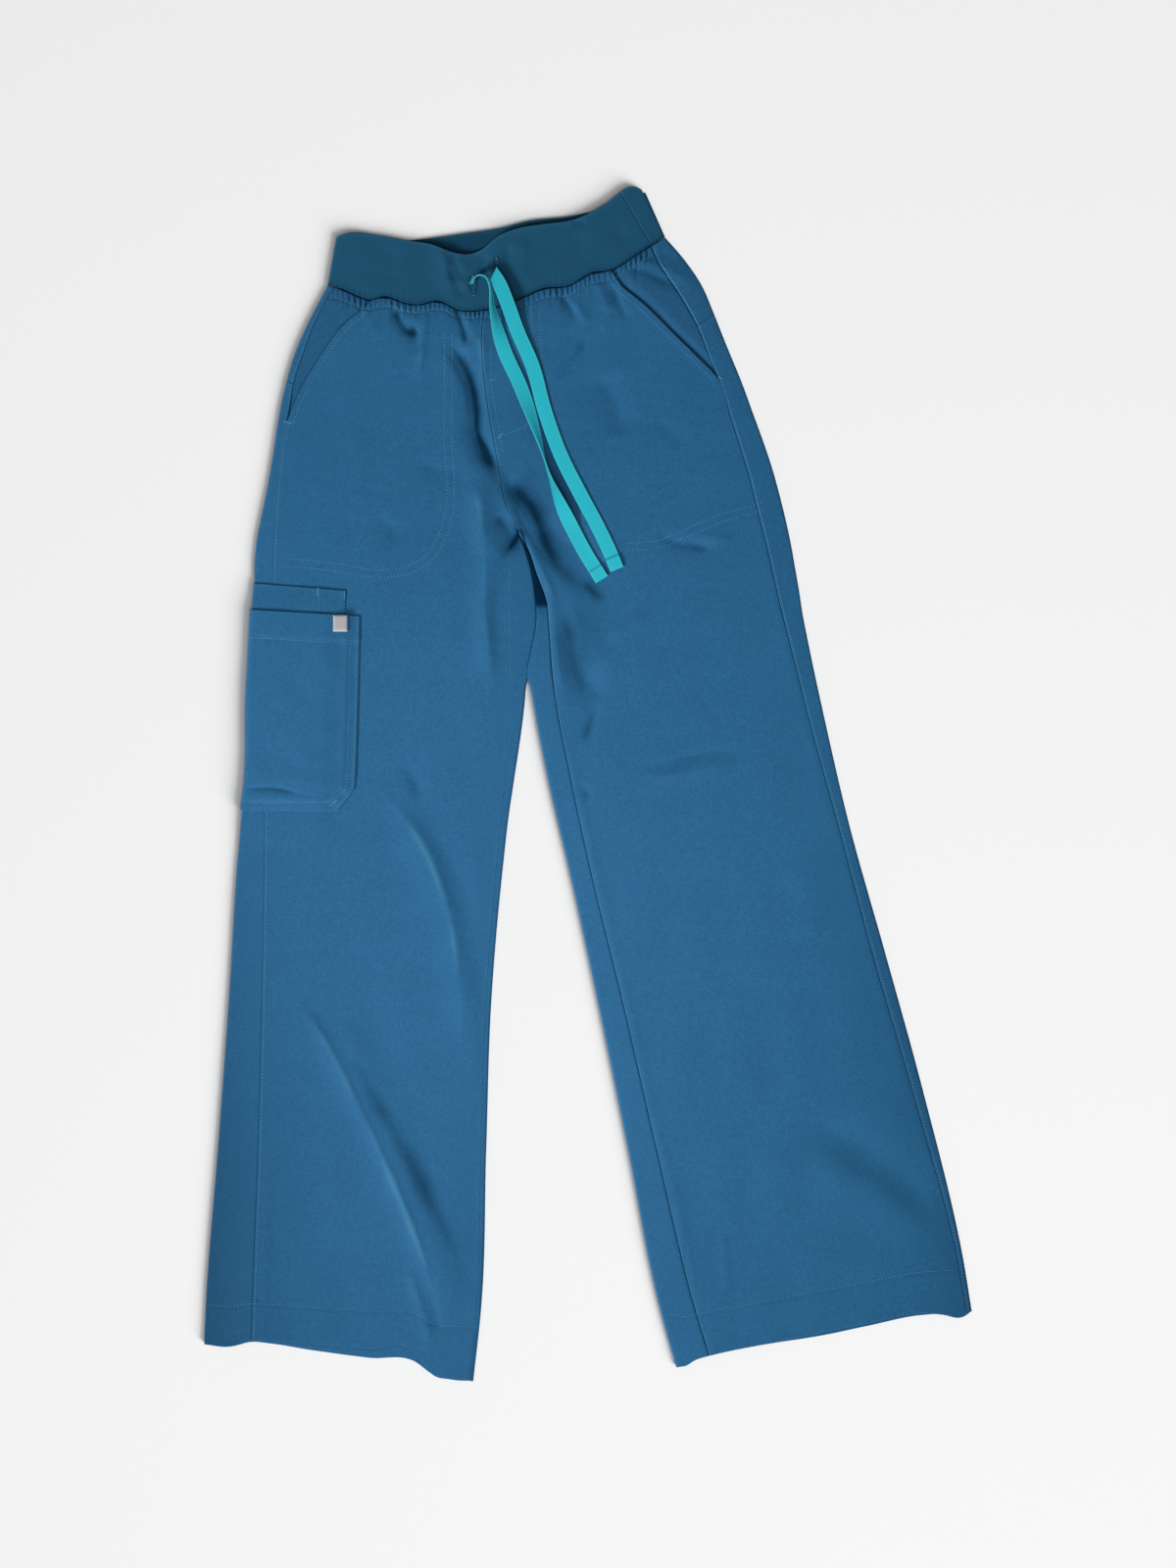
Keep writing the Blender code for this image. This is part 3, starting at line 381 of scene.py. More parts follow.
def nearPath(x, y, path, reach):  # distance, share of the way along and side of the nearest point of a path
    low, high = path.min(0) - reach, path.max(0) + reach
    inside = np.flatnonzero((x > low[0]) & (x < high[0]) & (y > low[1]) & (y < high[1]))
    if len(inside) == 0:
        return inside, np.zeros(0), np.zeros(0), np.zeros(0)
    px, py = x[inside], y[inside]
    best = np.full(px.shape, np.inf)
    along = np.zeros(px.shape)
    side = np.zeros(px.shape)
    starts = walked(path)
    for a, b, start, length in zip(path, path[1:], starts, np.diff(starts)):
        way = b - a
        part = np.clip(((px - a[0]) * way[0] + (py - a[1]) * way[1]) / length ** 2, 0, 1)
        gx, gy = px - a[0] - part * way[0], py - a[1] - part * way[1]
        gap = np.hypot(gx, gy)
        closer = gap < best
        best = np.where(closer, gap, best)
        along = np.where(closer, (start + part * length) / starts[-1], along)
        side = np.where(closer, way[0] * gy - way[1] * gx, side)
    return inside, best, along, side


creaseShape = {
    "rounded": True,
    "reach": 2.6,  # widths beyond which nothing is left of a crease
    "power": 1.6,
    "uneven": 0.13,
    "waves": 1.6,  # of that unevenness along a crease
    "shift": 0.37,  # of it from one crease to the next
}
foldShape = {**creaseShape, "rounded": False, "reach": 3, "power": 2, "uneven": 0}


def creaseRelief(x, y, creases, shape=creaseShape):  # a crease has its own width on either side of its line
    total = np.zeros(np.shape(x)).ravel()
    flatX, flatY = np.ravel(x), np.ravel(y)
    for number, crease in enumerate(creases):
        path = curveThrough(crease.path) if shape["rounded"] else np.array(crease.path, float)
        reach = shape["reach"] * max(crease.leftWidth, crease.rightWidth)
        inside, gap, along, side = nearPath(flatX, flatY, path, reach)
        width = np.where(side > 0, crease.leftWidth, crease.rightWidth)
        ends = stepBetween(0, crease.taper, along) * stepBetween(0, crease.taper, 1 - along)
        uneven = 1 + shape["uneven"] * np.sin(2 * pi * (shape["waves"] * along + shape["shift"] * number))
        total[inside] += crease.height * ends * uneven * np.exp(-(gap / width) ** shape["power"])
    return total.reshape(np.shape(x))


quietWaves = {  # unevenness of cloth that was smoothed by hand: height, seed, longest and shortest wave
    "front": ((0.16, 3, 95, 38), (0.035, 8, 26, 11)),
    "back": ((0.22, 21, 120, 45),),
    "band": ((0.1, 5, 60, 22),),
    "pocket": ((0.1, 12, 50, 20),),
}


def softWaves(x, y, kind, count=9):
    total = np.zeros(np.shape(x))
    for height, seed, longest, shortest in quietWaves[kind]:
        rng = np.random.default_rng(seed)
        sway = np.zeros(np.shape(x))
        for k in range(count):
            angle = rng.uniform(0, pi)
            length = shortest * (longest / shortest) ** rng.uniform()
            sway += np.sin(2 * pi * (x * cos(angle) + y * sin(angle)) / length + rng.uniform(0, 2 * pi))
        total += height * (sway / np.sqrt(count))
    return total


mainFolds = [Crease(height, width, width, cloth["foldTaper"], path) for height, width, path in (
    (-2.4, 9,  # tuck beside the fly
     ((-130, 404), (-116, 383), (-104, 355), (-104, 323), (-95, 299), (-76, 276))),
    (2, 11,  # ridge by the crotch
     ((-116, 299), (-96, 276), (-95, 232), (-84, 208), (-92, 166), (-92, 120), (-85, 78))),
    (-2.6, 17,  # crease on the left groin
     ((-69, 267), (-50, 246), (-29, 218), (-4, 194), (14, 169))),
    (-1.6, 13, ((-18, 155), (-15, 110), (-1, 86), (22, 92))),  # hollow on the left thigh
    (-1.3, 17, ((14, 372), (23, 342), (31, 313))),  # left hip hollow
    (1.8, 13,  # knee ridge
     ((-180, -13), (-157, -44), (-141, -80), (-125, -120), (-117, -163), (-111, -230))),
    (3.2, 21,  # long shin ridge
     ((-252, -190), (-215, -247), (-180, -312), (-156, -367), (-133, -427), (-124, -490))),
    (-1.5, 22, ((188, -300), (239, -328), (281, -351), (322, -388))),  # left shin hollow
    (1.2, 20, ((196, -340), (240, -365), (285, -392), (318, -424))),  # left shin ridge
)]
creases = tableOf(
    Crease,
    # beside the fly: a tuck that starts at the waist seam, its steep side away from the centre seam
    (-1.6, 4, 2.5, 0.2, ((-121, 437), (-117, 424), (-112, 409), (-109, 393))),
    (-1.8, 7, 2.5, 0.16,
     ((-124, 399), (-113, 380), (-104, 356), (-101.5, 336), (-101, 317), (-95, 299), (-85, 282))),
    (-1.3, 7, 4, 0.3, ((-100, 322), (-95, 301), (-84, 283), (-76, 264), (-70, 246))),
    (0.7, 3, 7, 0.25, ((-134, 392), (-124, 378), (-113, 358), (-110, 338), (-110, 315))),
    (0.7, 7, 4, 0.2, ((-112, 430), (-106, 415), (-97, 392), (-93, 360))),
    (0.55, 4, 4, 0.06,
     ((-93, 424), (-95, 400), (-94, 360), (-86, 316), (-80, 288), (-78, 264), (-72, 246), (-64, 231))),
    (1.0, 5, 7, 0.15,
     ((-106, 276), (-100, 262), (-97, 246), (-95, 222), (-93, 190), (-93, 160), (-90, 125), (-86, 84))),
    (-0.3, 7, 9, 0.3, ((-78, 214), (-80, 190), (-82, 160), (-82, 120))),
    # groin
    (-1.7, 14, 5, 0.32,
     ((-81, 288), (-72, 268), (-63, 252), (-55, 237), (-46, 222), (-37, 208), (-26, 196), (-12, 185))),
    (-0.7, 15, 9, 0.4, ((-40, 214), (-28, 198), (-12, 185), (6, 172), (24, 160), (40, 150))),
    (0.7, 2.5, 4, 0.2, ((-71, 252), (-63, 239), (-57, 226), (-50, 211), (-44, 197), (-35, 179), (-28, 160))),
    (0.3, 9, 5, 0.25, ((-34, 256), (-16, 238), (0, 218), (16, 200))),
    (-1.3, 2, 5, 0.3, ((-60, 230), (-66, 218.5), (-77, 202))),
    (-1.4, 7, 5, 0.2, ((-84, 244), (-76, 234), (-68, 226), (-64, 220))),
    (0.8, 5, 3.5, 0.1, ((-53, 214), (-46, 198), (-40, 184), (-33, 164), (-30, 140), (-27, 110), (-22, 80))),
    # thigh of the left leg
    (-1.5, 12, 7, 0.3, ((-24, 178), (-21, 150), (-18, 130), (-13, 108), (-3, 90), (10, 82), (26, 86))),
    (0.5, 11, 9, 0.35, ((4, 150), (6, 128), (16, 112), (34, 108))),
    (-1.2, 5, 6, 0.3, ((9, 76), (2, 54), (-4, 34))),
    (-0.55, 14, 16, 0.35, ((-8, 148), (6, 150), (22, 157), (46, 170))),
    (0.7, 8, 8, 0.35, ((12, 132), (32, 140), (58, 154))),
    (-1.2, 5, 7, 0.3, ((40, 16), (66, 17), (96, 24), (142, 32))),
    (0.8, 7, 8, 0.3, ((44, 4), (70, 6), (100, 13), (138, 21))),
    (-1.0, 4, 5, 0.3, ((-12, 0), (-4, -5), (3, -14))),
    # below the waistband
    (-1.4, 3.5, 5, 0.3, ((-26, 446), (-20, 435), (-8, 415))),
    (-1.0, 4, 6, 0.3, ((2, 406), (-7, 391), (-18, 376), (-26, 362))),
    (0.8, 5, 4, 0.3, ((-14, 438), (-8, 426), (0, 410))),
    (-1.2, 4, 6, 0.3, ((18, 455), (26, 436), (38, 414))),
    (0.7, 5, 5, 0.3, ((6, 455), (13, 440), (20, 422))),
    (-0.9, 10, 10, 0.3, ((14, 374), (20, 352), (32, 311))),
    (-0.8, 7, 7, 0.3, ((60, 330), (72, 318), (90, 306))),
    (-1.3, 5, 5, 0.3, ((62, 226), (78, 217), (96, 214), (118, 211))),
    (0.7, 6, 5, 0.3, ((96, 226), (112, 221), (132, 222))),
    (-1.9, 4, 5, 0.25, ((-174, 432), (-170, 418), (-163, 408), (-149, 407))),
    (1.0, 4, 5, 0.25, ((-145, 428), (-148, 404), (-151, 380), (-152, 360))),
    (-0.8, 5, 5, 0.3, ((-160, 420), (-156, 404), (-153, 384))),
    (0.5, 5, 5, 0.3, ((-205, 434), (-196, 418), (-188, 398))),
    # hips and seat of the right leg
    (-0.7, 7, 8, 0.3, ((-192, 245), (-180, 230), (-164, 217))),
    (-0.8, 8, 9, 0.3, ((-160, 290), (-136, 282), (-108, 277))),
    (0.5, 10, 10, 0.3, ((-214, 330), (-206, 280), (-214, 232))),
    # pocket facings
    (-0.9, 4, 4, 0.25, ((30, 464), (48, 462), (64, 455), (79, 448), (93, 444))),
    (0.7, 4, 4, 0.25, ((36, 471), (54, 469), (74, 462), (92, 455))),
    (-0.7, 3, 4, 0.25, ((63, 480), (76, 475), (89, 469))),
    # knee and shin of the right leg
    (1.35, 7, 3.2, 0.25,
     ((-186, -6), (-168, -27), (-155, -46), (-143, -68), (-133, -93), (-125, -118), (-120, -150),
      (-117, -180))),
    (0.45, 6, 4, 0.3, ((-126, -120), (-119, -155), (-115, -200), (-111, -250))),
    (-1.0, 8, 6, 0.3, ((-170, 22), (-161, 6), (-148, -18))),
    (-0.4, 10, 8, 0.3, ((-146, -24), (-127, -60), (-112, -100), (-104, -150))),
    (1.45, 4, 5.5, 0.18,
     ((-268, -188), (-254, -206), (-238, -229), (-206, -291), (-182, -342), (-159, -397), (-136, -462))),
    (-1.4, 13, 13, 0.26,
     ((-240, -190), (-221, -232), (-182, -300), (-149, -360), (-122, -415), (-100, -466))),
    (0.9, 5, 5, 0.2, ((-163, -432), (-155, -458), (-147, -482), (-142, -510))),
    (-0.8, 6, 7, 0.25, ((-150, -440), (-140, -468), (-134, -500))),
    (0.5, 9, 9, 0.3, ((-106, -150), (-102, -220), (-99, -300))),
    # shin of the left leg
    (-0.85, 13, 18, 0.3, ((186, -299), (212, -313), (239, -328), (262, -339), (284, -355), (322, -390))),
    (0.6, 9, 15, 0.3, ((196, -322), (240, -350), (282, -380), (318, -412))),
    (-0.5, 12, 12, 0.3, ((144, -267), (182, -256), (222, -248))),
    (0.4, 12, 12, 0.3, ((110, -150), (150, -160), (200, -150))),
    (0.5, 5, 5, 0.3, ((118, -398), (124, -430), (122, -462))),
    # rolled ridges beside the inseam and the side seam of the left leg
    (0.35, 4, 4, 0.1, ((-29, 62), (-18, 30), (10, -89), (33, -182), (53, -272), (78, -368), (103, -477))),
    (0.35, 4, 4, 0.1, ((150, 252), (187, 89), (236, -89), (279, -244), (318, -377))),
    # allowance ridge beside the right side seam, above the hem
    (0.4, 3, 3, 0.1, ((-288, -330), (-290, -424), (-292, -500))),
    (-0.8, 2.5, 2.5, 0.2, ((-300, -464), (-290, -465))),
    (-0.8, 2.5, 2.5, 0.2, ((326, -430), (342, -428))),
)
foldShades = tableOf(
    Crease,
    # painted shade: the tight folds by the fly and the groin are darker than their depth alone makes them
    (0.34, 6, 2.5, 0.14,
     ((-119, 391), (-112, 379), (-103, 356), (-100, 334), (-98, 314), (-91, 298), (-80, 280), (-69, 266))),
    (0.75, 9, 4, 0.22, ((-72, 271), (-61, 262), (-52, 250), (-46, 238), (-40, 224), (-34, 211))),
    (0.42, 10, 5, 0.3, ((-46, 230), (-35, 211), (-26, 195), (-15, 185), (-4, 180))),
    (0.2, 14, 12, 0.35, ((-58, 294), (-50, 272), (-42, 251), (-32, 230))),
    (0.5, 5, 4, 0.3, ((-7, 185), (1, 177), (7, 171), (17, 164))),
    (0.3, 11, 9, 0.35, ((-14, 172), (-8, 150), (-4, 128), (-6, 106), (4, 92))),
    (0.5, 3, 3, 0.3, ((-67, 240), (-61, 230), (-55, 219))),
)
bandCreases = tableOf(
    Crease,
    (-1.0, 4, 6, 0.25, ((-126, 468), (-120, 455), (-112, 436))),
    (-1.1, 4, 5, 0.25, ((-122, 480), (-118, 466), (-112, 452))),
    (0.8, 4, 5, 0.25, ((-133, 484), (-128, 466), (-124, 444))),
    (-0.9, 4, 4, 0.3, ((-94, 478), (-93, 468), (-96, 458))),
    (-1.0, 5, 5, 0.3, ((-74, 488), (-72, 476), (-74, 462))),
    (0.6, 6, 6, 0.3, ((-60, 494), (-58, 474), (-60, 452))),
    (-0.5, 9, 9, 0.3, ((-180, 486), (-176, 466), (-178, 446))),
    (-0.5, 9, 9, 0.3, ((-4, 500), (-8, 482), (-2, 462))),
    (-0.6, 3, 4, 0.3, ((-14, 507), (-8, 505), (-2, 508))),
    (-0.5, 7, 7, 0.3, ((24, 512), (30, 498), (34, 482))),
)
pocketCreases = tableOf(
    Crease,
    (0.5, 9, 4, 0.12, ((-308, 2), (-285, 5), (-262, 4), (-240, 0), (-222, -4))),
    (-0.9, 1.8, 3.5, 0.2, ((-330, -4), (-308, -4.5), (-284, -4), (-266, -7), (-250, -10))),
    (-0.5, 3, 4, 0.3, ((-262, -9), (-240, -12), (-226, -10), (-214, -2))),
    (0.5, 4, 5, 0.3, ((-232, -18), (-220, -8), (-211, 2))),
    (0.35, 12, 12, 0.3, ((-280, 60), (-262, 30), (-238, 14))),
    (-0.4, 8, 8, 0.3, ((-296, 40), (-276, 20), (-250, 12))),
    (-0.3, 10, 10, 0.3, ((-270, 110), (-250, 80), (-226, 70))),
)
backCreases = tableOf(
    Crease,
    (1.6, 12, 16, 0.25, ((-190, 300), (-150, 250), (-120, 190))),
    (1.4, 14, 10, 0.25, ((-60, 320), (0, 290), (60, 250))),
    (1.3, 12, 12, 0.3, ((-250, -150), (-190, -250), (-130, -360))),
    (1.2, 14, 12, 0.3, ((70, -100), (160, -180), (250, -240))),
    (1.0, 10, 12, 0.3, ((-250, 60), (-180, 20), (-110, 30))),
    (1.0, 10, 10, 0.3, ((10, 120), (80, 90), (160, 100))),
)


def pocketLift(leg, x, y):
    if leg is not right:
        return np.zeros(np.shape(x))
    inside = np.asarray(x, float) - leg.edgeX("outer", y)
    along = stepBetween(*cloth["liftFoot"], y) * (1 - stepBetween(*cloth["liftMouth"], y))
    return cloth["pocketLift"] * (1 - stepBetween(*cloth["liftReach"], inside)) * along


def fromFolds(leg, x, y):  # distances from the outer fold, and from the inner one or the crotch above it
    crotch = leg.line("edge", leg.crotch)
    fromOuter = (x - leg.edgeX("outer", y)) * leg.inward - cloth["fold"]
    beside = (leg.edgeX("edge", np.minimum(y, crotch[1])) - x) * leg.inward - cloth["fold"]
    return np.maximum(fromOuter, 0), np.hypot(np.maximum(beside, 0), np.maximum(y - crotch[1], 0))


def plainHeight(leg, x, y):  # outside of the top layer as the solid has it
    x = np.asarray(x, float)
    y = np.asarray(y, float)
    fromOuter, fromInner = fromFolds(leg, x, y)
    crown = cloth["crown"]
    for gap in (fromOuter, fromInner):
        crown = crown * (1 - np.exp(-gap / cloth["crownReach"]))
    edges = 1 - np.exp(-fromOuter / cloth["crownReach"])
    depth = np.maximum(waistY(x) - y, 0) / cloth["puffDepth"]
    puff = cloth["puff"] * depth * np.exp(1 - depth) * edges
    lift = pocketLift(leg, x, y)
    lowest = lift + 2 * cloth["wall"] + cloth["layerGap"] + cloth["layerRoom"]
    folds = creaseRelief(x, y, mainFolds, foldShape)
    return np.maximum(2 * cloth["fold"] + lift + crown + puff + folds * edges, lowest)


def fineRelief(leg, x, y):  # the smaller creases
    fine = creaseRelief(x, y, creases) + softWaves(x, y, "front")
    for gap, calm in zip(fromFolds(leg, x, y), cloth["calm"]):
        fine = fine * (1 - np.exp(-gap / calm))
    return fine


def topHeight(leg, x, y, fine=None):
    x = np.asarray(x, float)
    y = np.asarray(y, float)
    lowest = pocketLift(leg, x, y) + 2 * cloth["wall"] + cloth["layerGap"] + cloth["fineRoom"]
    return np.maximum(plainHeight(leg, x, y) + (fineRelief(leg, x, y) if fine is None else fine), lowest)


shades = {  # painted shade and painted highlight amounts: the most, and the values between which it comes
    "trough": (0.85, 0.4, 2.7),  # less light gets into the troughs
    "ridge": (0.85, 0.6, 1.7),  # and more onto the ridges
    # painted shade between the gathers, and painted highlight on them
    "gather": (0.6, 0.15, 0.7),
    "gatherRidge": (0.5, 0.2, 0.8),
    "edge": {"right": (0.5, -150, 520), "left": (0.22, -120, 260)},  # painted shade toward the hem, beside the outer folds
    "edgeReach": {"right": 60, "left": 36},
    "most": 0.9,
    "panelEdge": (0.55, 1.1),  # painted shade under the waistband: the most, and how far it reaches
}
tuck = {  # painted shade where the cloth is tucked in between the legs
    "line": ((-62.0, 226.5), (-74.5, 206.5)),  # down from the crotch, on the right leg
    "sides": ((1.4, 3.0), (1.5, 4.5)),  # the most and the reach on either side of it
    "start": (-7, 0),
    "end": (9, 27),
    "edge": (0.35, 1.3),  # along the right leg's inner edge
    "edgeStart": (130, 190),
    "edgeTop": 229,
    "leftEdge": (-1.0, 0.2),
    "leftStart": (157.5, 161.5),
    "leftTail": (0.3, 10),
    "leftTailTop": 158,
    "leftTop": 229.5,
}


def edgeShade(leg, x, y):  # painted shade where the cloth turns down toward the floor
    beside = np.maximum((x - leg.edgeX("outer", y)) * leg.inward, 0)
    most, low, high = shades["edge"][leg.side]
    return fade(beside, most, shades["edgeReach"][leg.side]) * stepBetween(low, high, -y)


def crotchShade(leg, x, y):
    if leg is left:
        beside = stepBetween(*tuck["leftEdge"], leg.edgeX("seam", y) - x)
        tail = fade(np.maximum(tuck["leftTailTop"] - y, 0), *tuck["leftTail"]) * (y < tuck["leftTailTop"])
        return np.where(y < tuck["leftTop"], beside * (stepBetween(*tuck["leftStart"], y) + tail), 0)
    first, last = np.array(tuck["line"])
    way = unit(last - first)
    along = (x - first[0]) * way[0] + (y - first[1]) * way[1]
    aside = (y - first[1]) * way[0] - (x - first[0]) * way[1]
    below, above = (fade(abs(aside), *side) for side in tuck["sides"])
    down = np.where(aside < 0, below, above) * stepBetween(*tuck["start"], along)
    down = down * (1 - stepBetween(*tuck["end"], along))
    edge = fade(np.maximum(leg.edgeX("edge", y) - x, 0), *tuck["edge"])
    edge = edge * stepBetween(*tuck["edgeStart"], y) * (y < tuck["edgeTop"])
    return np.clip(np.maximum(down, edge), 0, 1)


# meshes

def edgeRoll(distance, radius):  # how far a rounded edge drops, at a distance from it
    inside = np.clip(radius - np.asarray(distance, float), 0, radius)
    return radius - np.sqrt(np.maximum(radius ** 2 - inside ** 2, 0))


def joinRows(upper, lower):  # the finer row has whole steps to each coarse one
    if len(upper) >= len(lower):
        fine, coarse, turned = upper, lower, False
    else:
        fine, coarse, turned = lower, upper, True
    split = (len(fine) - 1) // (len(coarse) - 1)
    faces = []
    for k in range(len(coarse) - 1):
        face = fine[k * split:(k + 1) * split + 1] + [coarse[k + 1], coarse[k]]
        faces.append(face[::-1] if turned else face)
    return faces


def joinStarts(upper, lower):  # rows that share their first columns only
    columns = min(len(upper), len(lower)) - 1
    return [[upper[k], upper[k + 1], lower[k + 1], lower[k]] for k in range(columns)]


def makeCloth(name, rows, uv, material, marks, wall=cloth["wall"], join=joinRows, offset=-1.0, evenWall=True):
    points = np.concatenate(rows) * mm
    uv = np.concatenate(uv) * mm
    starts = np.cumsum([0] + [len(row) for row in rows]).tolist()
    numbers = [list(range(a, b)) for a, b in zip(starts, starts[1:])]
    faces = [face for upper, lower in zip(numbers, numbers[1:]) for face in join(upper, lower)]
    mesh = bpy.data.meshes.new(name)
    mesh.from_pydata(points.tolist(), [], faces)
    mesh.update()
    highest = max(mesh.polygons, key=lambda face: face.center.z)
    if highest.normal.z < 0:
        mesh.flip_normals()
    corners = np.empty(len(mesh.loops), np.int64)
    mesh.loops.foreach_get("vertex_index", corners)
    layer = mesh.uv_layers.new(name="UVMap")
    layer.data.foreach_set("uv", uv[corners].astype(np.float32).ravel())
    # the marks are amounts of painted highlight and painted shade, kept on the mesh's points for its material
    for label, values in marks.items():
        values = np.concatenate([np.ravel(row) for row in values]).astype(np.float32)
        mesh.attributes.new(label, "FLOAT", "POINT").data.foreach_set("value", values)
    mesh.shade_smooth()
    mesh.materials.append(material)
    piece = addObject(name, mesh)
    sides = [list(face.vertices) for face in mesh.polygons]
    surfaces.append(BVHTree.FromPolygons([Vector(point) for point in points.tolist()], sides))
    shell = piece.modifiers.new("cloth wall", "SOLIDIFY")
    shell.thickness = wall * mm
    shell.offset = offset
    shell.use_even_offset = evenWall
    shell.use_quality_normals = True
    print(name, len(mesh.polygons), "faces")
    return piece


surfaces = []  # outsides of the finished pieces, for what is sewn on them


def dropTo(points, fromBelow=False):  # the cloth's outside above or below each x, y
    up = -1 if fromBelow else 1
    landed = []
    for x, y in points:
        start = Vector((x * mm, y * mm, 0.1 * up))
        hits = [tree.ray_cast(start, Vector((0, 0, -up)), 0.2) for tree in surfaces]
        heights = [hit[0].z for hit in hits if hit[0] is not None]
        if heights:
            landed.append((x * mm, y * mm, max(heights) if up > 0 else min(heights)))
    return landed


def finish(piece, nodeSlot, *nodes):
    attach(piece, body)
    if nodes:
        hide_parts(*nodes)
    return piece


# finishes

# sockets of each group: name, kind and the value it starts from
def newGroup(name, inputs, outputs):
    tree = bpy.data.node_groups.new(name, "ShaderNodeTree")
    for label, kind, value in inputs:
        socket = tree.interface.new_socket(label, in_out="INPUT", socket_type=kind)
        if value is not None:
            socket.default_value = value
    for label, kind in outputs:
        tree.interface.new_socket(label, in_out="OUTPUT", socket_type=kind)
    return tree, tree.nodes.new("NodeGroupInput"), tree.nodes.new("NodeGroupOutput")


def calc(tree, operation, *values, clamp=False):  # a Math node fed by sockets or numbers
    node = tree.nodes.new("ShaderNodeMath")
    node.operation = operation
    node.use_clamp = clamp
    for socket, value in zip(node.inputs, values):
        if isinstance(value, bpy.types.NodeSocket):
            tree.links.new(value, socket)
        else:
            socket.default_value = value
    return node.outputs[0]


def blendColour(tree, part, first, second, mode="MIX"):
    node = tree.nodes.new("ShaderNodeMix")
    node.data_type = "RGBA"
    node.blend_type = mode
    for socket, value in ((node.inputs[0], part), (node.inputs[6], first), (node.inputs[7], second)):
        if isinstance(value, bpy.types.NodeSocket):
            tree.links.new(value, socket)
        else:
            socket.default_value = value
    return node.outputs[2]


def noise(tree, vector, scale, detail=2.0, rough=0.5):
    node = tree.nodes.new("ShaderNodeTexNoise")
    setInputs(node, {"Scale": scale, "Detail": detail, "Roughness": rough})
    tree.links.new(vector, node.inputs["Vector"])
    return node.outputs["Fac"]


def newPattern(name, **pitches):  # a height pattern on a cloth UV in metres, with its pitches as inputs
    rows = [("Cloth UV", "NodeSocketVector", None)]
    rows += [(label.capitalize() + " pitch", "NodeSocketFloat", value) for label, value in pitches.items()]
    tree, enter, leave = newGroup(name, rows, [("Height", "NodeSocketFloat")])
    split = tree.nodes.new("ShaderNodeSeparateXYZ")
    tree.links.new(enter.outputs["Cloth UV"], split.inputs[0])
    return tree, enter.outputs, leave.inputs["Height"], split.outputs[0], split.outputs[1]


def waves(tree, value, pitch):  # one wave to each pitch
    return calc(tree, "SINE", calc(tree, "DIVIDE", calc(tree, "MULTIPLY", value, 2 * pi), pitch))


def blend(tree, first, firstPart, second, secondPart):
    part = calc(tree, "MULTIPLY", first, firstPart)
    return calc(tree, "ADD", part, calc(tree, "MULTIPLY", second, secondPart))


def weaveGroup():  # steep twill lines over single threads
    tree, pitches, height, u, v = newPattern("twill weave", line=0.00062, thread=0.0004)
    lines = waves(tree, blend(tree, u, 1.0, v, 0.55), pitches["Line pitch"])
    warp, weft = (waves(tree, way, pitches["Thread pitch"]) for way in (u, v))
    tree.links.new(blend(tree, lines, 0.65, calc(tree, "MULTIPLY", warp, weft), 0.35), height)
    return tree


def knitGroup():  # upright columns of small loops
    tree, pitches, height, u, v = newPattern("knit columns", column=0.0009, loop=0.0007)
    columns = waves(tree, u, pitches["Column pitch"])
    lean = calc(tree, "ADD", v, calc(tree, "MULTIPLY", calc(tree, "ABSOLUTE", columns), 0.0003))
    tree.links.new(blend(tree, columns, 0.7, waves(tree, lean, pitches["Loop pitch"]), 0.3), height)
    return tree


def ribGroup():  # a flat tape's close ribs across its length
    tree, pitches, height, u, v = newPattern("tape ribs", rib=0.0008)
    ribs = waves(tree, v, pitches["Rib pitch"])
    tree.links.new(calc(tree, "ADD", ribs, calc(tree, "MULTIPLY", waves(tree, u, 0.0005), 0.35)), height)
    return tree


tones = {"driftScale": 7.0, "grainScale": 620.0, "grainRough": 0.7, "slubScale": 210.0, "slubPart": 0.22}


def toneGroup():  # quiet drift of a dyed cloth's colour, and the grain of its yarn
    rows = [("Place", "NodeSocketVector", None)]
    rows += [(label, "NodeSocketFloat", 0.10) for label in ("Drift", "Grain")]
    outputs = [(label, "NodeSocketFloat") for label in ("Tone", "Grain height")]
    tree, enter, leave = newGroup("dyed cloth tone", rows, outputs)
    place, grainPart = enter.outputs["Place"], enter.outputs["Grain"]
    drift = calc(tree, "SUBTRACT", noise(tree, place, tones["driftScale"], 3.0), 0.5)
    grain = calc(tree, "SUBTRACT", noise(tree, place, tones["grainScale"], 2.0, tones["grainRough"]), 0.5)
    slub = calc(tree, "SUBTRACT", noise(tree, place, tones["slubScale"]), 0.5)
    tone = calc(tree, "MULTIPLY_ADD", drift, enter.outputs["Drift"], 0.5)
    tone = calc(tree, "MULTIPLY_ADD", grain, grainPart, tone)
    slubPart = calc(tree, "MULTIPLY", grainPart, tones["slubPart"])
    tree.links.new(calc(tree, "MULTIPLY_ADD", slub, slubPart, tone, clamp=True), leave.inputs["Tone"])
    tree.links.new(grain, leave.inputs["Grain height"])
    return tree


weave, knit, ribs, dyed = weaveGroup(), knitGroup(), ribGroup(), toneGroup()


def srgb(red, green, blue):  # 0-255 as seen, to the shader's linear values
    seen = np.array([red, green, blue]) / 255
    return (*np.where(seen > 0.04045, ((seen + 0.055) / 1.055) ** 2.4, seen / 12.92).tolist(), 1.0)


finishing = {"sheenRough": 0.45, "grainRough": 0.25, "grainHeight": 1.2}


def newMaterial(name):
    material = bpy.data.materials.new(name)
    material.use_nodes = True
    return material, material.node_tree, material.node_tree.nodes["Principled BSDF"]


def addGroup(tree, pattern, source, target, values):
    node = tree.nodes.new("ShaderNodeGroup")
    node.node_tree = pattern
    tree.links.new(source, node.inputs[target])
    setInputs(node, values)
    return node


def paintedOn(tree, label):  # an amount that the mesh carries
    node = tree.nodes.new("ShaderNodeAttribute")
    node.attribute_name = label
    return node.outputs["Fac"]


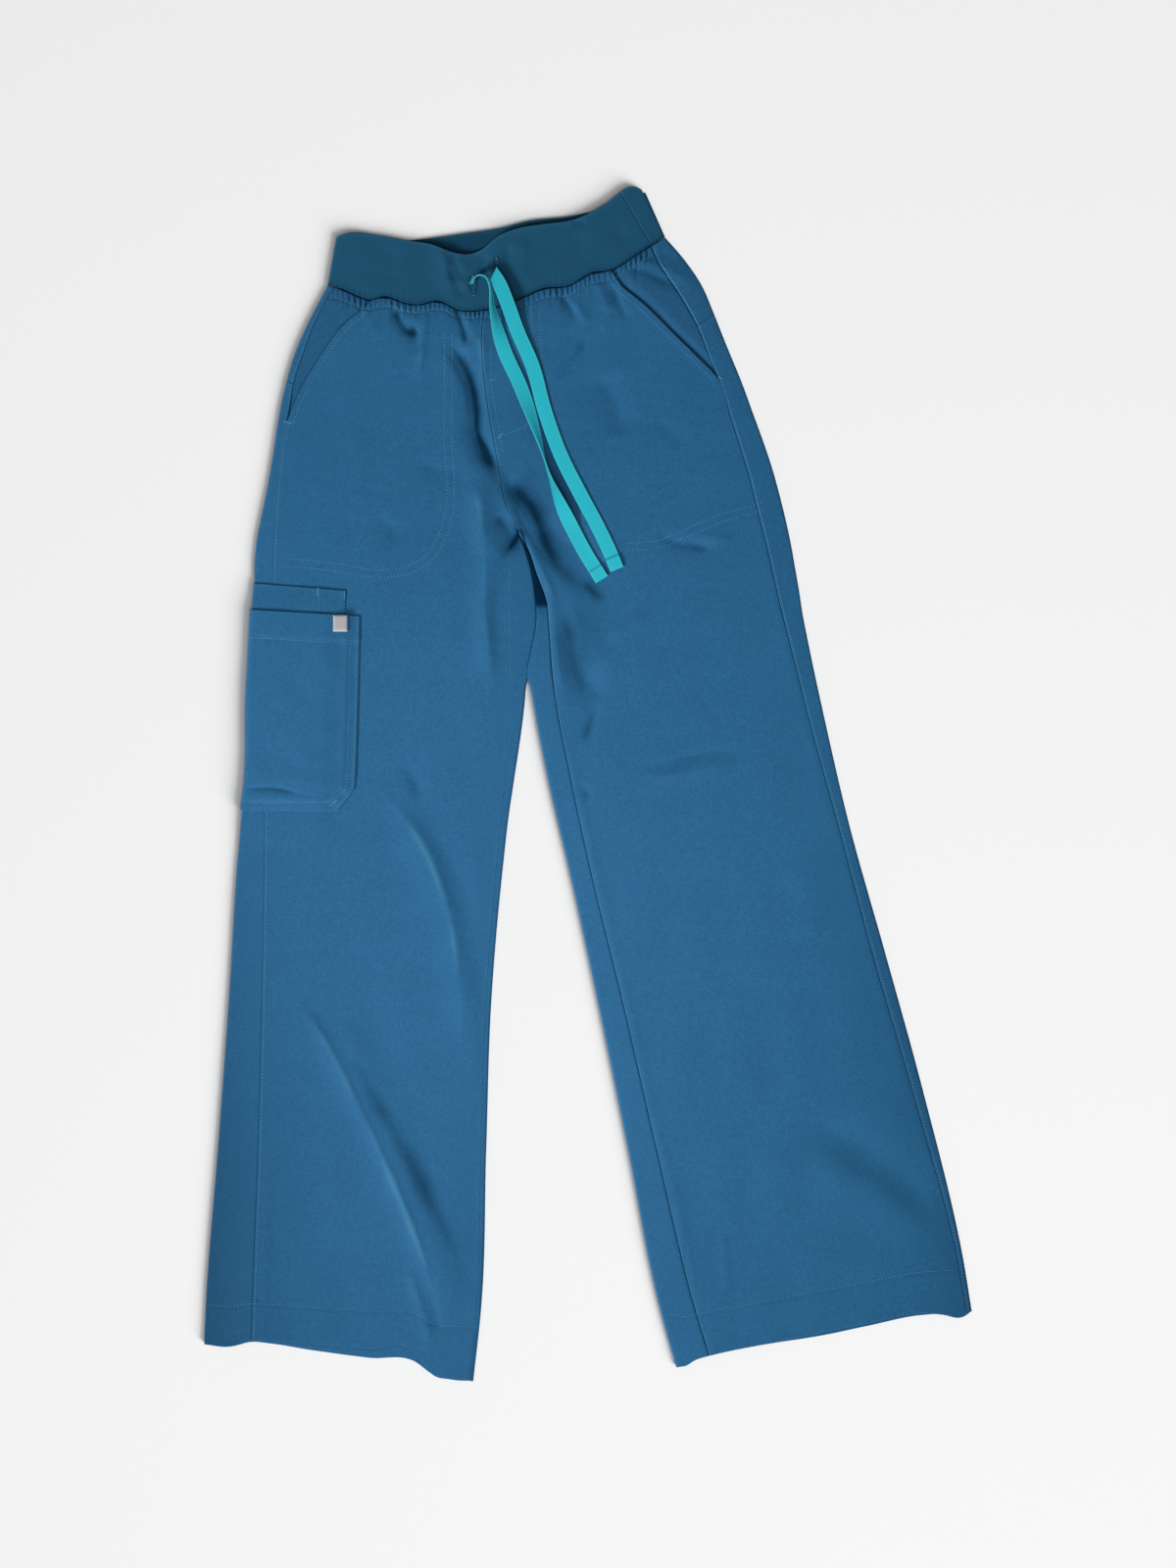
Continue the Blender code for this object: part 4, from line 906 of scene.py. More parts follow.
def makeFinish(name, spec, pattern):
    material, tree, shader = newMaterial(name)
    setInputs(shader, {"Roughness": spec["rough"], "Sheen Tint": spec["sheenTint"]})
    setInputs(shader, {"Sheen Roughness": finishing["sheenRough"]})
    uv = tree.nodes.new("ShaderNodeUVMap")
    uv.uv_map = "UVMap"
    woven = addGroup(tree, pattern, uv.outputs[0], "Cloth UV", spec.get("pattern", {}))
    place = tree.nodes.new("ShaderNodeTexCoord").outputs["Object"]
    tone = addGroup(tree, dyed, place, "Place", {"Drift": spec["drift"], "Grain": spec["grain"]})
    grain = tone.outputs["Grain height"]
    colour = blendColour(tree, tone.outputs["Tone"], srgb(*spec["dark"]), srgb(*spec["light"]))
    # amounts of painted highlight and painted shade that the mesh carries
    paintedHighlight, hollow = (paintedOn(tree, label) for label in ("paintedHighlight", "hollow"))
    clear = calc(tree, "SUBTRACT", 1.0, hollow, clamp=True)  # no specular or sheen where shade is painted
    specular, sheen = (calc(tree, "MULTIPLY", clear, spec[label]) for label in ("specular", "sheen"))
    # painted highlight mixed into the colour, then painted shade
    colour = blendColour(tree, calc(tree, "MULTIPLY", paintedHighlight, spec["paintedHighlightPart"]), colour, srgb(*spec["paintedHighlightColour"]))
    colour = blendColour(tree, calc(tree, "MULTIPLY", hollow, 1.0, clamp=True), colour, srgb(*spec["paintedShadeColour"]))
    rough = calc(tree, "MULTIPLY_ADD", grain, finishing["grainRough"], spec["rough"], clamp=True)
    height = calc(tree, "MULTIPLY_ADD", grain, finishing["grainHeight"], woven.outputs["Height"])
    bump = tree.nodes.new("ShaderNodeBump")
    setInputs(bump, {"Strength": spec["bump"], "Distance": spec["relief"]})
    tree.links.new(height, bump.inputs["Height"])
    for label, source in (
        ("Specular IOR Level", specular), ("Sheen Weight", sheen), ("Base Color", colour),
        ("Roughness", rough), ("Normal", bump.outputs["Normal"]),
    ):
        tree.links.new(source, shader.inputs[label])
    material.diffuse_color = srgb(*spec["light"])
    return material


# in each finish, the palest colour is painted highlight and the darkest colour is painted shade
twillFinish = {
    "dark": (27, 84, 125), "light": (40, 104, 146), "paintedShadeColour": (4, 33, 56),
    "paintedHighlightColour": (78, 144, 178), "paintedHighlightPart": 0.4, "rough": 0.72, "specular": 0.16,
    "sheen": 0.10, "sheenTint": (0.45, 0.75, 1.0, 1), "drift": 0.34, "grain": 2.0,
    "bump": 0.4, "relief": 0.00006,
}
# the same twill painted darker, as painted shade inside the pocket
shadedFacingFinish = {**twillFinish, "dark": (24, 78, 117), "light": (36, 96, 137)}
bandFinish = {
    "dark": (19, 72, 101), "light": (27, 86, 117), "paintedShadeColour": (7, 42, 62),
    "paintedHighlightColour": (64, 126, 156), "paintedHighlightPart": 0.5, "rough": 0.66, "specular": 0.14,
    "sheen": 0.08, "sheenTint": (0.4, 0.75, 0.9, 1), "drift": 0.3, "grain": 0.7,
    "bump": 0.35, "relief": 0.00006,
}
tapeFinish = {
    "dark": (32, 172, 190), "light": (50, 194, 210), "paintedShadeColour": (20, 110, 120),
    "paintedHighlightColour": (110, 222, 230), "paintedHighlightPart": 0.35, "rough": 0.75, "specular": 0.12,
    "sheen": 0.05, "sheenTint": (0.6, 1.0, 1.0, 1), "drift": 0.3, "grain": 0.4,
    "bump": 0.5, "relief": 0.00008,
}
tabFinish = {
    "dark": (156, 153, 158), "light": (182, 179, 184), "paintedShadeColour": (110, 108, 112),
    "paintedHighlightColour": (205, 203, 207), "paintedHighlightPart": 0.5, "rough": 0.8, "specular": 0.2,
    "sheen": 0.2, "sheenTint": (1, 1, 1, 1), "drift": 0.2, "grain": 0.5,
    "bump": 0.6, "relief": 0.00008,
    "pattern": {"Line pitch": 0.0009, "Thread pitch": 0.0005},
}
twill = makeFinish("stretch twill", twillFinish, weave)
shadedFacingTwill = makeFinish("stretch twill with painted shade, inside the pocket", shadedFacingFinish, weave)
bandKnit = makeFinish("waistband knit", bandFinish, knit)
tapeWeave = makeFinish("drawstring tape", tapeFinish, ribs)
tabWeave = makeFinish("grey woven tab", tabFinish, weave)


thread = {"specular": 0.15, "noise": 260.0, "dark": 0.72, "roughSpread": 0.2}


def makeThread(name, colour, rough):
    material, tree, shader = newMaterial(name)
    setInputs(shader, {"Specular IOR Level": thread["specular"]})
    place = tree.nodes.new("ShaderNodeTexCoord").outputs["Object"]
    tone = noise(tree, place, thread["noise"], 1.0)
    dark = tuple(thread["dark"] * value for value in srgb(*colour)[:3]) + (1.0,)
    tree.links.new(blendColour(tree, tone, dark, srgb(*colour)), shader.inputs["Base Color"])
    spread = thread["roughSpread"]
    tree.links.new(calc(tree, "MULTIPLY_ADD", tone, spread, rough - spread / 2), shader.inputs["Roughness"])
    material.diffuse_color = srgb(*colour)
    return material


seamThread = makeThread("blue sewing thread", (100, 161, 200), 0.5)
bandThread = makeThread("dark sewing thread", (30, 84, 112), 0.5)
paleThread = makeThread("pale thread ends", (176, 212, 218), 0.55)
tapeThread = makeThread("turquoise thread", (110, 222, 232), 0.5)
print("finishes ready")

# rows of the panels

edgeStops = (0, 0.45, 1.0, 1.8, 3.0, 4.6)


def across(start, end, count, bias=0.0):  # between two lines of points, closer together near both of them
    width = np.linalg.norm(end - start, axis=1)[:, None]
    near = np.asarray(edgeStops, float)[None, :]
    part = np.linspace(0, 1, count + 2)[None, 1:-1]
    middle = near[0, -1] + (part + bias * part * (1 - part)) * (width - 2 * near[0, -1])
    far = width - near[:, ::-1]
    distance = np.concatenate((near + 0 * width, middle, far), axis=1)
    return between(start, end, (distance / width)[:, :, None]), distance, width - distance


def placesAlong(start, end, step):  # distances from the waist, closer together at both ends
    near = np.asarray(edgeStops, float)
    count = max(int(round((end - start - 2 * near[-1]) / step)), 1)
    middle = np.linspace(start + near[-1], end - near[-1], count + 1)[1:-1]
    return np.concatenate((start + near, middle, end - near[::-1]))


def toward(start, end, distance):
    return start + unit(end - start) * distance


def finer(values, split):  # each step of a row split into that many
    values = np.asarray(values, float)
    places = np.linspace(0, len(values) - 1, (len(values) - 1) * split + 1)
    flat = values.reshape(len(values), -1)
    found = np.stack([np.interp(places, np.arange(len(values)), column) for column in flat.T], axis=1)
    return found.reshape((len(places),) + values.shape[1:])


def clothUv(rows, places):
    return [np.stack((walked(row), np.full(len(row), at)), axis=1) for row, at in zip(rows, places)]


def makePiece(name, node, rows, places, marks, material=twill, nodeSlot="twill_cloth", **more):
    return finish(makeCloth(name, rows, clothUv(rows, places), material, marks, **more), nodeSlot, node)


seams = {  # half the gap that shows at a seam, and the radius that its edges roll over with
    "pressed": (0.0, 0.12),
    "fine": (0.05, 0.5),
    "centre": (0.06, 0.5),
    "sharp": (0.1, 0.85),
    "lower": (0.07, 0.5),
    "mouth": (0.1, 0.6),
}


def seamAt(leg, column, places):  # gap and roll along one edge of a panel
    mouthEnd, fork = leg.place("mouth end"), leg.place("leg fork")
    plain = "pressed" if leg is right else "fine"
    if column == "side":
        kinds = ["fine" if at < mouthEnd else plain for at in places]
    elif column == "mouth":
        kinds = ["mouth" if at < mouthEnd - 2 else plain for at in places]
    else:
        above, below = ("pressed", "pressed") if leg is right else ("sharp", "lower")
        kinds = ["centre" if at <= leg.crotch else above if at < fork else below for at in places]
    return np.array([seams[kind] for kind in kinds]).T[:, :, None]


gathers = {
    "pitch": 4.7,
    "drift": ((2.3, 19, 0), (1.4, 7.3, 1)),  # of the pitch: size, length and start of each wave
    "lean": 0.05,
    "height": 0.62,
    "sizes": (0.8, 0.35, 5.7),  # of single gathers: middle, spread and length of the wave
    "bunches": ((-228, -195), (-179, -140), (-120, -96), (-56, 2), (18, 56)),  # where it is drawn in most
    "bunchEnds": (7, 5),
    "quiet": 0.4,
    "stitchDepth": 8.6,
    "tail": (0.55, 11),  # below the stitches: the most, and how far they run
    "tailStart": 2.5,
    "groove": (0.45, 1.0),
}
headingRows = {"first": (0, 0.4, 0.9), "start": 2.0, "end": 15, "step": 0.9}


def gatherRelief(x, depth):
    phase = 2 * pi * x / gathers["pitch"]
    for size, length, start in gathers["drift"]:
        phase = phase + size * np.sin(x / length + start)
    phase = phase + gathers["lean"] * depth
    bunch = np.zeros(np.shape(x))
    outward, inward = gathers["bunchEnds"]
    for low, high in gathers["bunches"]:
        drawn = stepBetween(low - outward, low + inward, x)
        bunch = np.maximum(bunch, drawn * (1 - stepBetween(high - inward, high + outward, x)))
    middle, spread, length = gathers["sizes"]
    size = gathers["height"] * mix(gathers["quiet"], 1.0, bunch) * (middle + spread * np.sin(x / length))
    heading = np.sin(pi * np.clip(depth / gathers["stitchDepth"], 0, 1)) ** 0.7
    below = np.maximum(depth - gathers["stitchDepth"], 0)
    tail = np.clip(below / gathers["tailStart"], 0, 1) * fade(below, *gathers["tail"])
    wave = np.sin(phase) + 0.25 * np.sin(2.2 * phase + 0.8)
    slow = np.sin(phase * 0.47 + 0.6)
    groove = hump(depth - gathers["stitchDepth"], *gathers["groove"])
    return size * (heading * wave + tail * (0.5 * wave + 0.8 * slow) * bunch) - groove


def headingPlaces():  # closest together at the waist seam
    first = cloth["seamGap"] + np.array(headingRows["first"])
    return np.concatenate((first, np.arange(headingRows["start"], headingRows["end"], headingRows["step"])))


hems = {"turnUp": 42, "thickness": 0.35, "edge": 2.5, "groove": (0.15, 1.6)}


def hemRelief(leg, at):  # the turned-up hem is a little thicker, with a groove along its stitching
    line = leg.length - hems["turnUp"]
    return grown(at, hems["thickness"], line, line + hems["edge"]) - hump(at - line, *hems["groove"])


# front panels

frontPanel = {
    "columns": {"right": 82, "left": 84},
    "bias": 0.36,  # columns are closer together toward the centre and the inseam
    "rowStep": {"right": (1.6, 2.85), "left": (1.65, 3.1)},  # above the fork of the legs and below it
    "afterHeading": 1.2,
    "split": 3,
    "mouthFold": (0.45, 7.5),  # folded and faced along the pocket mouth
    # painted highlight along the mouth and the seams, and painted shade along the mouth and the side
    "mouthHighlight": (0.3, 0.8),
    "seamHighlight": (0.3, 1.4),
    "forkHighlight": (0.75, 1.4),  # painted highlight along the left inseam above the fork
    "mouthShade": 0.6,
    "sideShade": {"right": 0, "left": 0.4},
    "shadeReach": 0.45,
}


def splitMarks(rows, paintedHighlight, hollow):
    cuts = np.cumsum([len(row) for row in rows])[:-1]
    return {"paintedHighlight": np.split(paintedHighlight, cuts), "hollow": np.split(hollow, cuts)}


def topRows(leg, flats, places, drops, hollows, paintedHighlights=None):  # rows of a top-layer piece from its rows of x, y
    at = np.repeat(places, [len(row) for row in flats])
    flat, drop, hollow = (np.concatenate(values) for values in (flats, drops, hollows))
    x, y = (values.ravel() for values in leg.follow(flat[:, None, :], at, "front"))
    fine, gather = fineRelief(leg, x, y), gatherRelief(x, at)
    z = topHeight(leg, x, y, fine) + gather + hemRelief(leg, at)
    z -= edgeRoll(at - cloth["seamGap"], cloth["waistRoll"])
    z -= edgeRoll(leg.length - at, cloth["hemRoll"]) + drop
    # painted shade in troughs, between gathers, in the crotch, beside the outer folds and along the tight
    # folds; painted highlight on ridges and gathers
    painted = (grown(-fine, *shades["trough"]), grown(-gather, *shades["gather"]))
    hollow = np.maximum.reduce((hollow, crotchShade(leg, x, y), edgeShade(leg, x, y), *painted))
    hollow = np.minimum(hollow + creaseRelief(x, y, foldShades), shades["most"])
    paintedHighlight = grown(fine, *shades["ridge"]) + grown(gather, *shades["gatherRidge"])
    if paintedHighlights:
        paintedHighlight += np.concatenate(paintedHighlights)
    cuts = np.cumsum([len(row) for row in flats])[:-1]
    return np.split(np.stack((x, y, z), axis=1), cuts), splitMarks(flats, paintedHighlight, hollow)


def makeFront(leg):
    highStep, lowStep = frontPanel["rowStep"][leg.side]
    heading = headingPlaces()
    mouthEnd, fork = leg.place("mouth end"), leg.place("leg fork")
    high = np.arange(heading[-1] + frontPanel["afterHeading"], fork, highStep)
    low = placesAlong(high[-1], leg.length, lowStep)[len(edgeStops):]
    places = np.concatenate((heading, high, low))
    mouth, seam = leg.line("mouth", places), leg.line("seam", places)
    mouthGap, mouthRoll = seamAt(leg, "mouth", places)
    seamGap, seamRoll = seamAt(leg, "seam", places)
    start, end = toward(mouth, seam, mouthGap), toward(seam, mouth, seamGap)
    points, fromMouth, fromSeam = across(start, end, frontPanel["columns"][leg.side], frontPanel["bias"])
    flats, drops, paintedHighlights, hollows = [], [], [], []
    for k, (at, row, near, far) in enumerate(zip(places, points, fromMouth, fromSeam)):
        if at <= heading[-1]:
            row, near, far = (finer(value, frontPanel["split"]) for value in (row, near, far))
        flats.append(row)
        thick = hump(near, *frontPanel["mouthFold"]) * (at < mouthEnd)
        drops.append(edgeRoll(near, mouthRoll[k]) + edgeRoll(far, seamRoll[k]) - thick)
        # painted highlight along the mouth and the seam; painted shade along the mouth, the side and under
        # the waistband
        seamHighlight = frontPanel["forkHighlight" if leg is left and leg.crotch < at < fork else "seamHighlight"]
        paintedHighlights.append(fade(near, *frontPanel["mouthHighlight"]) + fade(far, *seamHighlight))
        dark = frontPanel["mouthShade"] if at < mouthEnd else frontPanel["sideShade"][leg.side]
        dark = fade(near, dark, frontPanel["shadeReach"])
        hollows.append(np.maximum(fade(at - cloth["seamGap"], *shades["panelEdge"]), dark))
    rows, marks = topRows(leg, flats, places, drops, hollows, paintedHighlights)
    return makePiece(f"front_panel_{leg.side}", f"front_{leg.side}", rows, places, marks)


frontRight, frontLeft = (makeFront(leg) for leg in legs)

# hip facings

facing = {
    "columns": 26,
    "rowStep": 1.8,
    "split": 2,
    "tuck": 7,  # runs on below the front panel
    "tuckParts": (0.33, 0.66, 1.0),
    "depth": 1.35,
    "slope": 11,
    "mouthShade": (0.85, 0.6),
    "sideShade": (0.4, 0.45),
}


def makeFacing(leg):
    heading = headingPlaces()
    step = facing["rowStep"]
    places = np.concatenate((heading, np.arange(heading[-1] + step, leg.place("mouth end") - 1, step)))
    seam, mouth = leg.line("side", places), leg.line("mouth", places)
    gap, roll = seamAt(leg, "side", places)
    start = toward(seam, mouth, gap)
    tuck = toward(mouth, leg.line("seam", places), facing["tuck"])
    part, tuckParts = np.linspace(0, 1, facing["columns"] + 1), np.array(facing["tuckParts"])
    flats, drops, hollows = [], [], []
    for at, a, b, c in zip(places, start, mouth, tuck):
        width = np.hypot(*(b - a))
        row = np.concatenate((a + (b - a) * part[:, None], b + (c - b) * tuckParts[:, None]))
        fromSide = np.concatenate((width * part, width + facing["tuck"] * tuckParts))
        if at <= heading[-1]:
            row, fromSide = finer(row, facing["split"]), finer(fromSide, facing["split"])
        fromMouth = np.maximum(width - fromSide, 0)
        flats.append(row)
        drops.append(grown(fromMouth, facing["depth"], facing["slope"], 0) + edgeRoll(fromSide, roll[0]))
        # painted shade at the mouth, along the side seam and under the waistband
        shade = np.maximum(fade(fromMouth, *facing["mouthShade"]), fade(fromSide, *facing["sideShade"]))
        hollows.append(np.maximum(shade, fade(at - cloth["seamGap"], *shades["panelEdge"])))
    rows, marks = topRows(leg, flats, places, drops, hollows)
    name, node = f"pocket_facing_{leg.side}", f"hip_facing_{leg.side}"
    return makePiece(name, node, rows, places, marks, shadedFacingTwill, "pocket_facing")


facingRight, facingLeft = (makeFacing(leg) for leg in legs)

# back panels and yokes

backPanel = {
    "strip": 12,
    "stripStart": (0, 0.05, 0.12, 0.22, 0.34),  # columns close together beside the seam
    "turn": 8,
    "flat": 56,
    "innerStrip": 9,
    "rowStep": 3.1,
    "yokeStep": 2.6,
    "crotchAngle": -10,
    "crotchSpread": (0.02, 0.4),
    "yokeGap": 0.05,
    "yokeRoll": 0.5,
    "calm": 14,  # its folds fade out toward its own edges
    "sunk": 0.1,
    # painted highlight beside the side seam
    "paintedHighlight": (0.3, 0.9),
    "topAbove": 1.0,  # what lies higher is the top layer
    "foldsAbove": 2.2,
}
press = {  # the legs press against each other between the crotch and the fork
    "most": 0.6,
    "start": (84, 100),
    "end": (212, 226),
    "fork": (1.1, 7),
    "forkY": 97,
}


def turnPoints(edge, inner, height, first, last, steps, radius=cloth["fold"]):  # round a folded edge
    angles = np.radians(np.linspace(first, last, steps + 1))
    way = unit(inner - edge)
    flat = edge[:, None, :] + way[:, None, :] * (radius * (1 - np.cos(angles)))[None, :, None]
    high = height[:, None] + radius * (1 + np.sin(angles))[None, :]
    return np.concatenate((flat, high[:, :, None]), axis=2)


def stripPoints(leg, seam, fold, places, count, roll, flip=False):  # top layer from a seam to a folded edge
    near = backPanel["stripStart"]
    part = np.concatenate((near[:-1], np.linspace(near[-1], 1, count - 2)))[:-1]
    x, y = leg.follow(between(seam, fold, part[:, None]), places, "front")
    width = np.linalg.norm(fold - seam, axis=1)[:, None]
    at = places[:, None]
    calm = 1 - part[None, :] ** 2
    z = topHeight(leg, x, y) + gatherRelief(x, at) * calm + hemRelief(leg, at) * calm
    z -= edgeRoll(width * part[None, :], roll) + edgeRoll(at - cloth["seamGap"], cloth["waistRoll"]) * calm
    z -= edgeRoll(leg.length - at, cloth["hemRoll"])
    z -= edgeRoll(abs(at - leg.place("yoke")) - backPanel["yokeGap"], backPanel["yokeRoll"])
    strip = np.stack((x, y, z), axis=2)
    return strip[:, ::-1] if flip else strip


def underPoints(leg, places, meetsOtherLeg, gathered):  # the lower layer's outside, on the table
    outer, edge = leg.line("outer", places), innerEdge(leg, places)
    start = toward(outer, edge, cloth["fold"])
    end = toward(edge, outer, cloth["seamGap"] / 2 if meetsOtherLeg else cloth["fold"])
    part = np.linspace(0, 1, backPanel["flat"] + 1)
    x, y = leg.follow(between(start, end, part[:, None]), places, "back")
    z = pocketLift(leg, x, y)
    inside = np.minimum(part, 1 - part)[None, :] * np.linalg.norm(end - start, axis=1)[:, None]
    calm = 1 - hump(inside, 1, backPanel["calm"])
    folds = creaseRelief(x, y, backCreases) + softWaves(x, y, "back")
    raised = np.maximum(folds - backPanel["sunk"], 0) * calm
    if gathered:
        raised = raised + np.maximum(gatherRelief(x, places[:, None]), 0) * calm
    room = topHeight(leg, x, y) - z - 2 * cloth["wall"] - cloth["layerGap"]  # up to the layer above it
    return np.stack((x, y, z + np.clip(raised, 0, np.maximum(room, 0))), axis=2)


def innerEdge(leg, places):
    edge = leg.line("edge", places)
    y = edge[:, 1]
    between = grown(y, press["most"], *press["start"]) * (1 - stepBetween(*press["end"], y))
    moved = (between + hump(y - press["forkY"], *press["fork"])) * leg.inward
    return edge + np.stack((moved, 0 * moved), axis=1)


def backRows(leg, places, aboveCrotch, gathered=False):
    outer, side, edge = leg.line("outer", places), leg.line("side", places), innerEdge(leg, places)
    lift = pocketLift(leg, outer[:, 0], outer[:, 1])
    turn = turnPoints(outer, edge, lift, 90, -90, backPanel["turn"])
    gap, roll = seamAt(leg, "side", places)
    strip = stripPoints(leg, toward(side, outer, gap), turn[:, 0, :2], places, backPanel["strip"], roll)
    under = underPoints(leg, places, aboveCrotch, gathered)
    parts = [strip, turn[:, :-1], under]
    if not aboveCrotch:
        parts[-1] = under[:, :-1]
        inner = turnPoints(edge, outer, np.zeros(len(places)), -90, 90, backPanel["turn"])
        gap, roll = seamAt(leg, "seam", places)
        seam = toward(leg.line("seam", places), edge, gap)
        strip = stripPoints(leg, seam, inner[:, -1, :2], places, backPanel["innerStrip"], roll, flip=True)
        parts += [inner, strip]
    return np.concatenate(parts, axis=1)


def crotchRow(leg):  # the inseam meets the inner fold, so the lower layer ends just below the front panel
    at = np.array([leg.crotch])
    full = backRows(leg, at, False)
    count = backPanel["turn"] + 1
    outer, edge = leg.line("outer", at), leg.line("edge", at)
    start = toward(edge, outer, cloth["seamGap"] / 2)
    turn = turnPoints(start, outer, np.zeros(1), -90, backPanel["crotchAngle"], backPanel["turn"])
    tail = full.shape[1] - (backPanel["strip"] + 1 + backPanel["turn"] + backPanel["flat"])
    rest = tail - count
    end = np.repeat(turn[:, -1:], rest, axis=1)
    spread = np.linspace(*backPanel["crotchSpread"], rest)[None, :, None] * np.array([0.0, 0.0, 1.0])
    return np.concatenate((full[:, :full.shape[1] - tail], turn, end + spread), axis=1)


def backMarks(leg, rows):
    x, y, z = np.concatenate(rows).T
    fine = fineRelief(leg, x, y) * (z > backPanel["foldsAbove"])
    # painted highlight beside the side seam and on ridges; painted shade in troughs, in the crotch and beside
    # the outer folds
    paintedHighlight = fade(np.concatenate([walked(row) for row in rows]), *backPanel["paintedHighlight"])
    paintedHighlight += grown(fine, *shades["ridge"])
    onTop = np.maximum(crotchShade(leg, x, y), edgeShade(leg, x, y)) * (z > backPanel["topAbove"])
    return splitMarks(rows, paintedHighlight, np.maximum(grown(-fine, *shades["trough"]), onTop))


def makeBack(leg):
    yoke, gap = leg.place("yoke"), backPanel["yokeGap"]
    places = placesAlong(cloth["seamGap"], yoke - gap, backPanel["yokeStep"])
    rows = list(backRows(leg, places, True, gathered=True))
    name, node = f"back_yoke_panel_{leg.side}", f"back_yoke_{leg.side}"
    yokePiece = makePiece(name, node, rows, places, backMarks(leg, rows))
    above = placesAlong(yoke + gap, leg.crotch, backPanel["rowStep"])[:-3]
    below = placesAlong(leg.crotch, leg.length, backPanel["rowStep"])[3:]
    rows = list(backRows(leg, above, True)) + list(crotchRow(leg)) + list(backRows(leg, below, False))
    places = np.concatenate((above, [leg.crotch], below))
    name, node = f"back_panel_{leg.side}", f"back_{leg.side}"
    piece = makePiece(name, node, rows, places, backMarks(leg, rows), join=joinStarts, evenWall=False)
    return piece, yokePiece


(backRight, yokeRight), (backLeft, yokeLeft) = (makeBack(leg) for leg in legs)

# waistband

band = {
    "wall": 1.8,
    "tall": 50.0,
    "fold": 2.4,
    "turn": 8,
    "crown": 1.2,
    "crownRate": 9,
    "creaseHeight": 0.7,
    "creases": 5.5,
    "creaseLean": 0.35,
    "creaseCentre": 0.42,
    "creaseSpread": 0.16,
    "creaseFoot": 0.4,
    "columns": {"front": 200, "back": 12},
    "underColumns": 90,
    "rows": 34,
    "rowStops": (0, 0.3, 0.7, 1.2, 2.0, 3.2),
    "seamGap": 0.02,
    "seamStops": (3.0, 1.8, 1.0, 0.45, 0),
    "seamRoll": 0.3,
    "topRoll": 1.0,
    "footRoll": 0.9,
    "footGathers": (0.45, 5),  # the gathers run up into its foot
    "gatherDepth": 4.0,
    # painted highlight along its top, painted shade at its foot and on its inside
    "paintedHighlight": (1, 1.1),
    "footShade": (0.8, 1.6),
    "insideShade": 0.5,  # its inside lies in the shade of the opening
}


def bandHeight(share, up):
    crown = band["crown"]
    for place in (share, 1 - share):
        crown = crown * (1 - np.exp(-band["crownRate"] * place))
    wave = np.sin(2 * pi * (band["creases"] * share + band["creaseLean"] * up))
    spread = np.exp(-((share - band["creaseCentre"]) / band["creaseSpread"]) ** 2)
    return 2 * band["fold"] + crown + band["creaseHeight"] * wave * spread * mix(band["creaseFoot"], 1.0, up)


def bandCorners(up):
    gap = cloth["seamGap"]
    first = mix((waistSeam[0][0], waistSeam[0][1] + gap), bandTopFront[0], up)
    last = mix((waistSeam[-1][0], waistSeam[-1][1] + gap), bandTopFront[-1], up)
    return first, last


def bandPoints(share, up, layer):
    share = np.asarray(share, float)
    lowX = waistSeam[0][0] + share * (waistSeam[-1][0] - waistSeam[0][0])
    highX = bandTopFront[0][0] + share * (bandTopFront[-1][0] - bandTopFront[0][0])
    if layer == "front":
        lowY, highY = tableY(waistSeam, lowX), tableY(bandTopFront, highX)
    else:
        seam = right.sections[0].seam
        outer = np.where(lowX[:, None] < seam[0], right.sections[0].outer, left.sections[0].outer)
        lowY = seam[1] + (outer[:, 1] - seam[1]) * (lowX - seam[0]) / (outer[:, 0] - seam[0])
        highY = tableY(bandTopBack, highX)
    x = lowX * (1 - up) + highX * up
    y = (lowY + cloth["seamGap"]) * (1 - up) + highY * up
    if layer == "back":
        return np.stack((x, y, np.zeros(len(x))), axis=1)
    z = bandHeight(share, up) + creaseRelief(x, y, bandCreases) + softWaves(x, y, "band")
    fromFoot = up * band["tall"]
    z = z - edgeRoll(band["tall"] - fromFoot, band["topRoll"]) - edgeRoll(fromFoot, band["footRoll"])
    foot = gatherRelief(x, np.full(len(x), band["gatherDepth"])) * fade(fromFoot, *band["footGathers"])
    return np.stack((x, y, z + foot), axis=1)


def seamShare(up):  # where the side seam that shows on the front crosses the band
    x = mix(bandSideSeam[0][0], bandSideSeam[1][0], up)
    first, last = bandCorners(up)
    return float((x - first[0]) / (last[0] - first[0]))


def bandTurn(edge, inner):
    return turnPoints(edge[None], inner[None], np.zeros(1), -90, 90, band["turn"], band["fold"])[0]


def bandRow(up, half):
    first, last = bandCorners(up)
    width = np.hypot(*(last - first))
    fold = band["fold"] / width
    start, away = (fold, -1) if half == "front" else (1 - fold, 1)  # away from the side seam
    seam = seamShare(up) + away * band["seamGap"] / width
    near = seam + away * np.array(band["seamStops"]) / width
    shares = np.concatenate((np.linspace(start, near[0], band["columns"][half])[1:-1], near))
    strip = bandPoints(shares, up, "front")
    strip[:, 2] -= edgeRoll(abs(shares - seam) * width, band["seamRoll"])
    if half == "front":
        return np.concatenate((bandPoints(np.array([3 * fold]), up, "back"), bandTurn(first, last), strip))
    shares = np.linspace(3 * fold + cloth["seamGap"] / width, 1 - fold, band["underColumns"])[:-1]
    return np.concatenate((bandPoints(shares, up, "back"), bandTurn(last, first), strip))


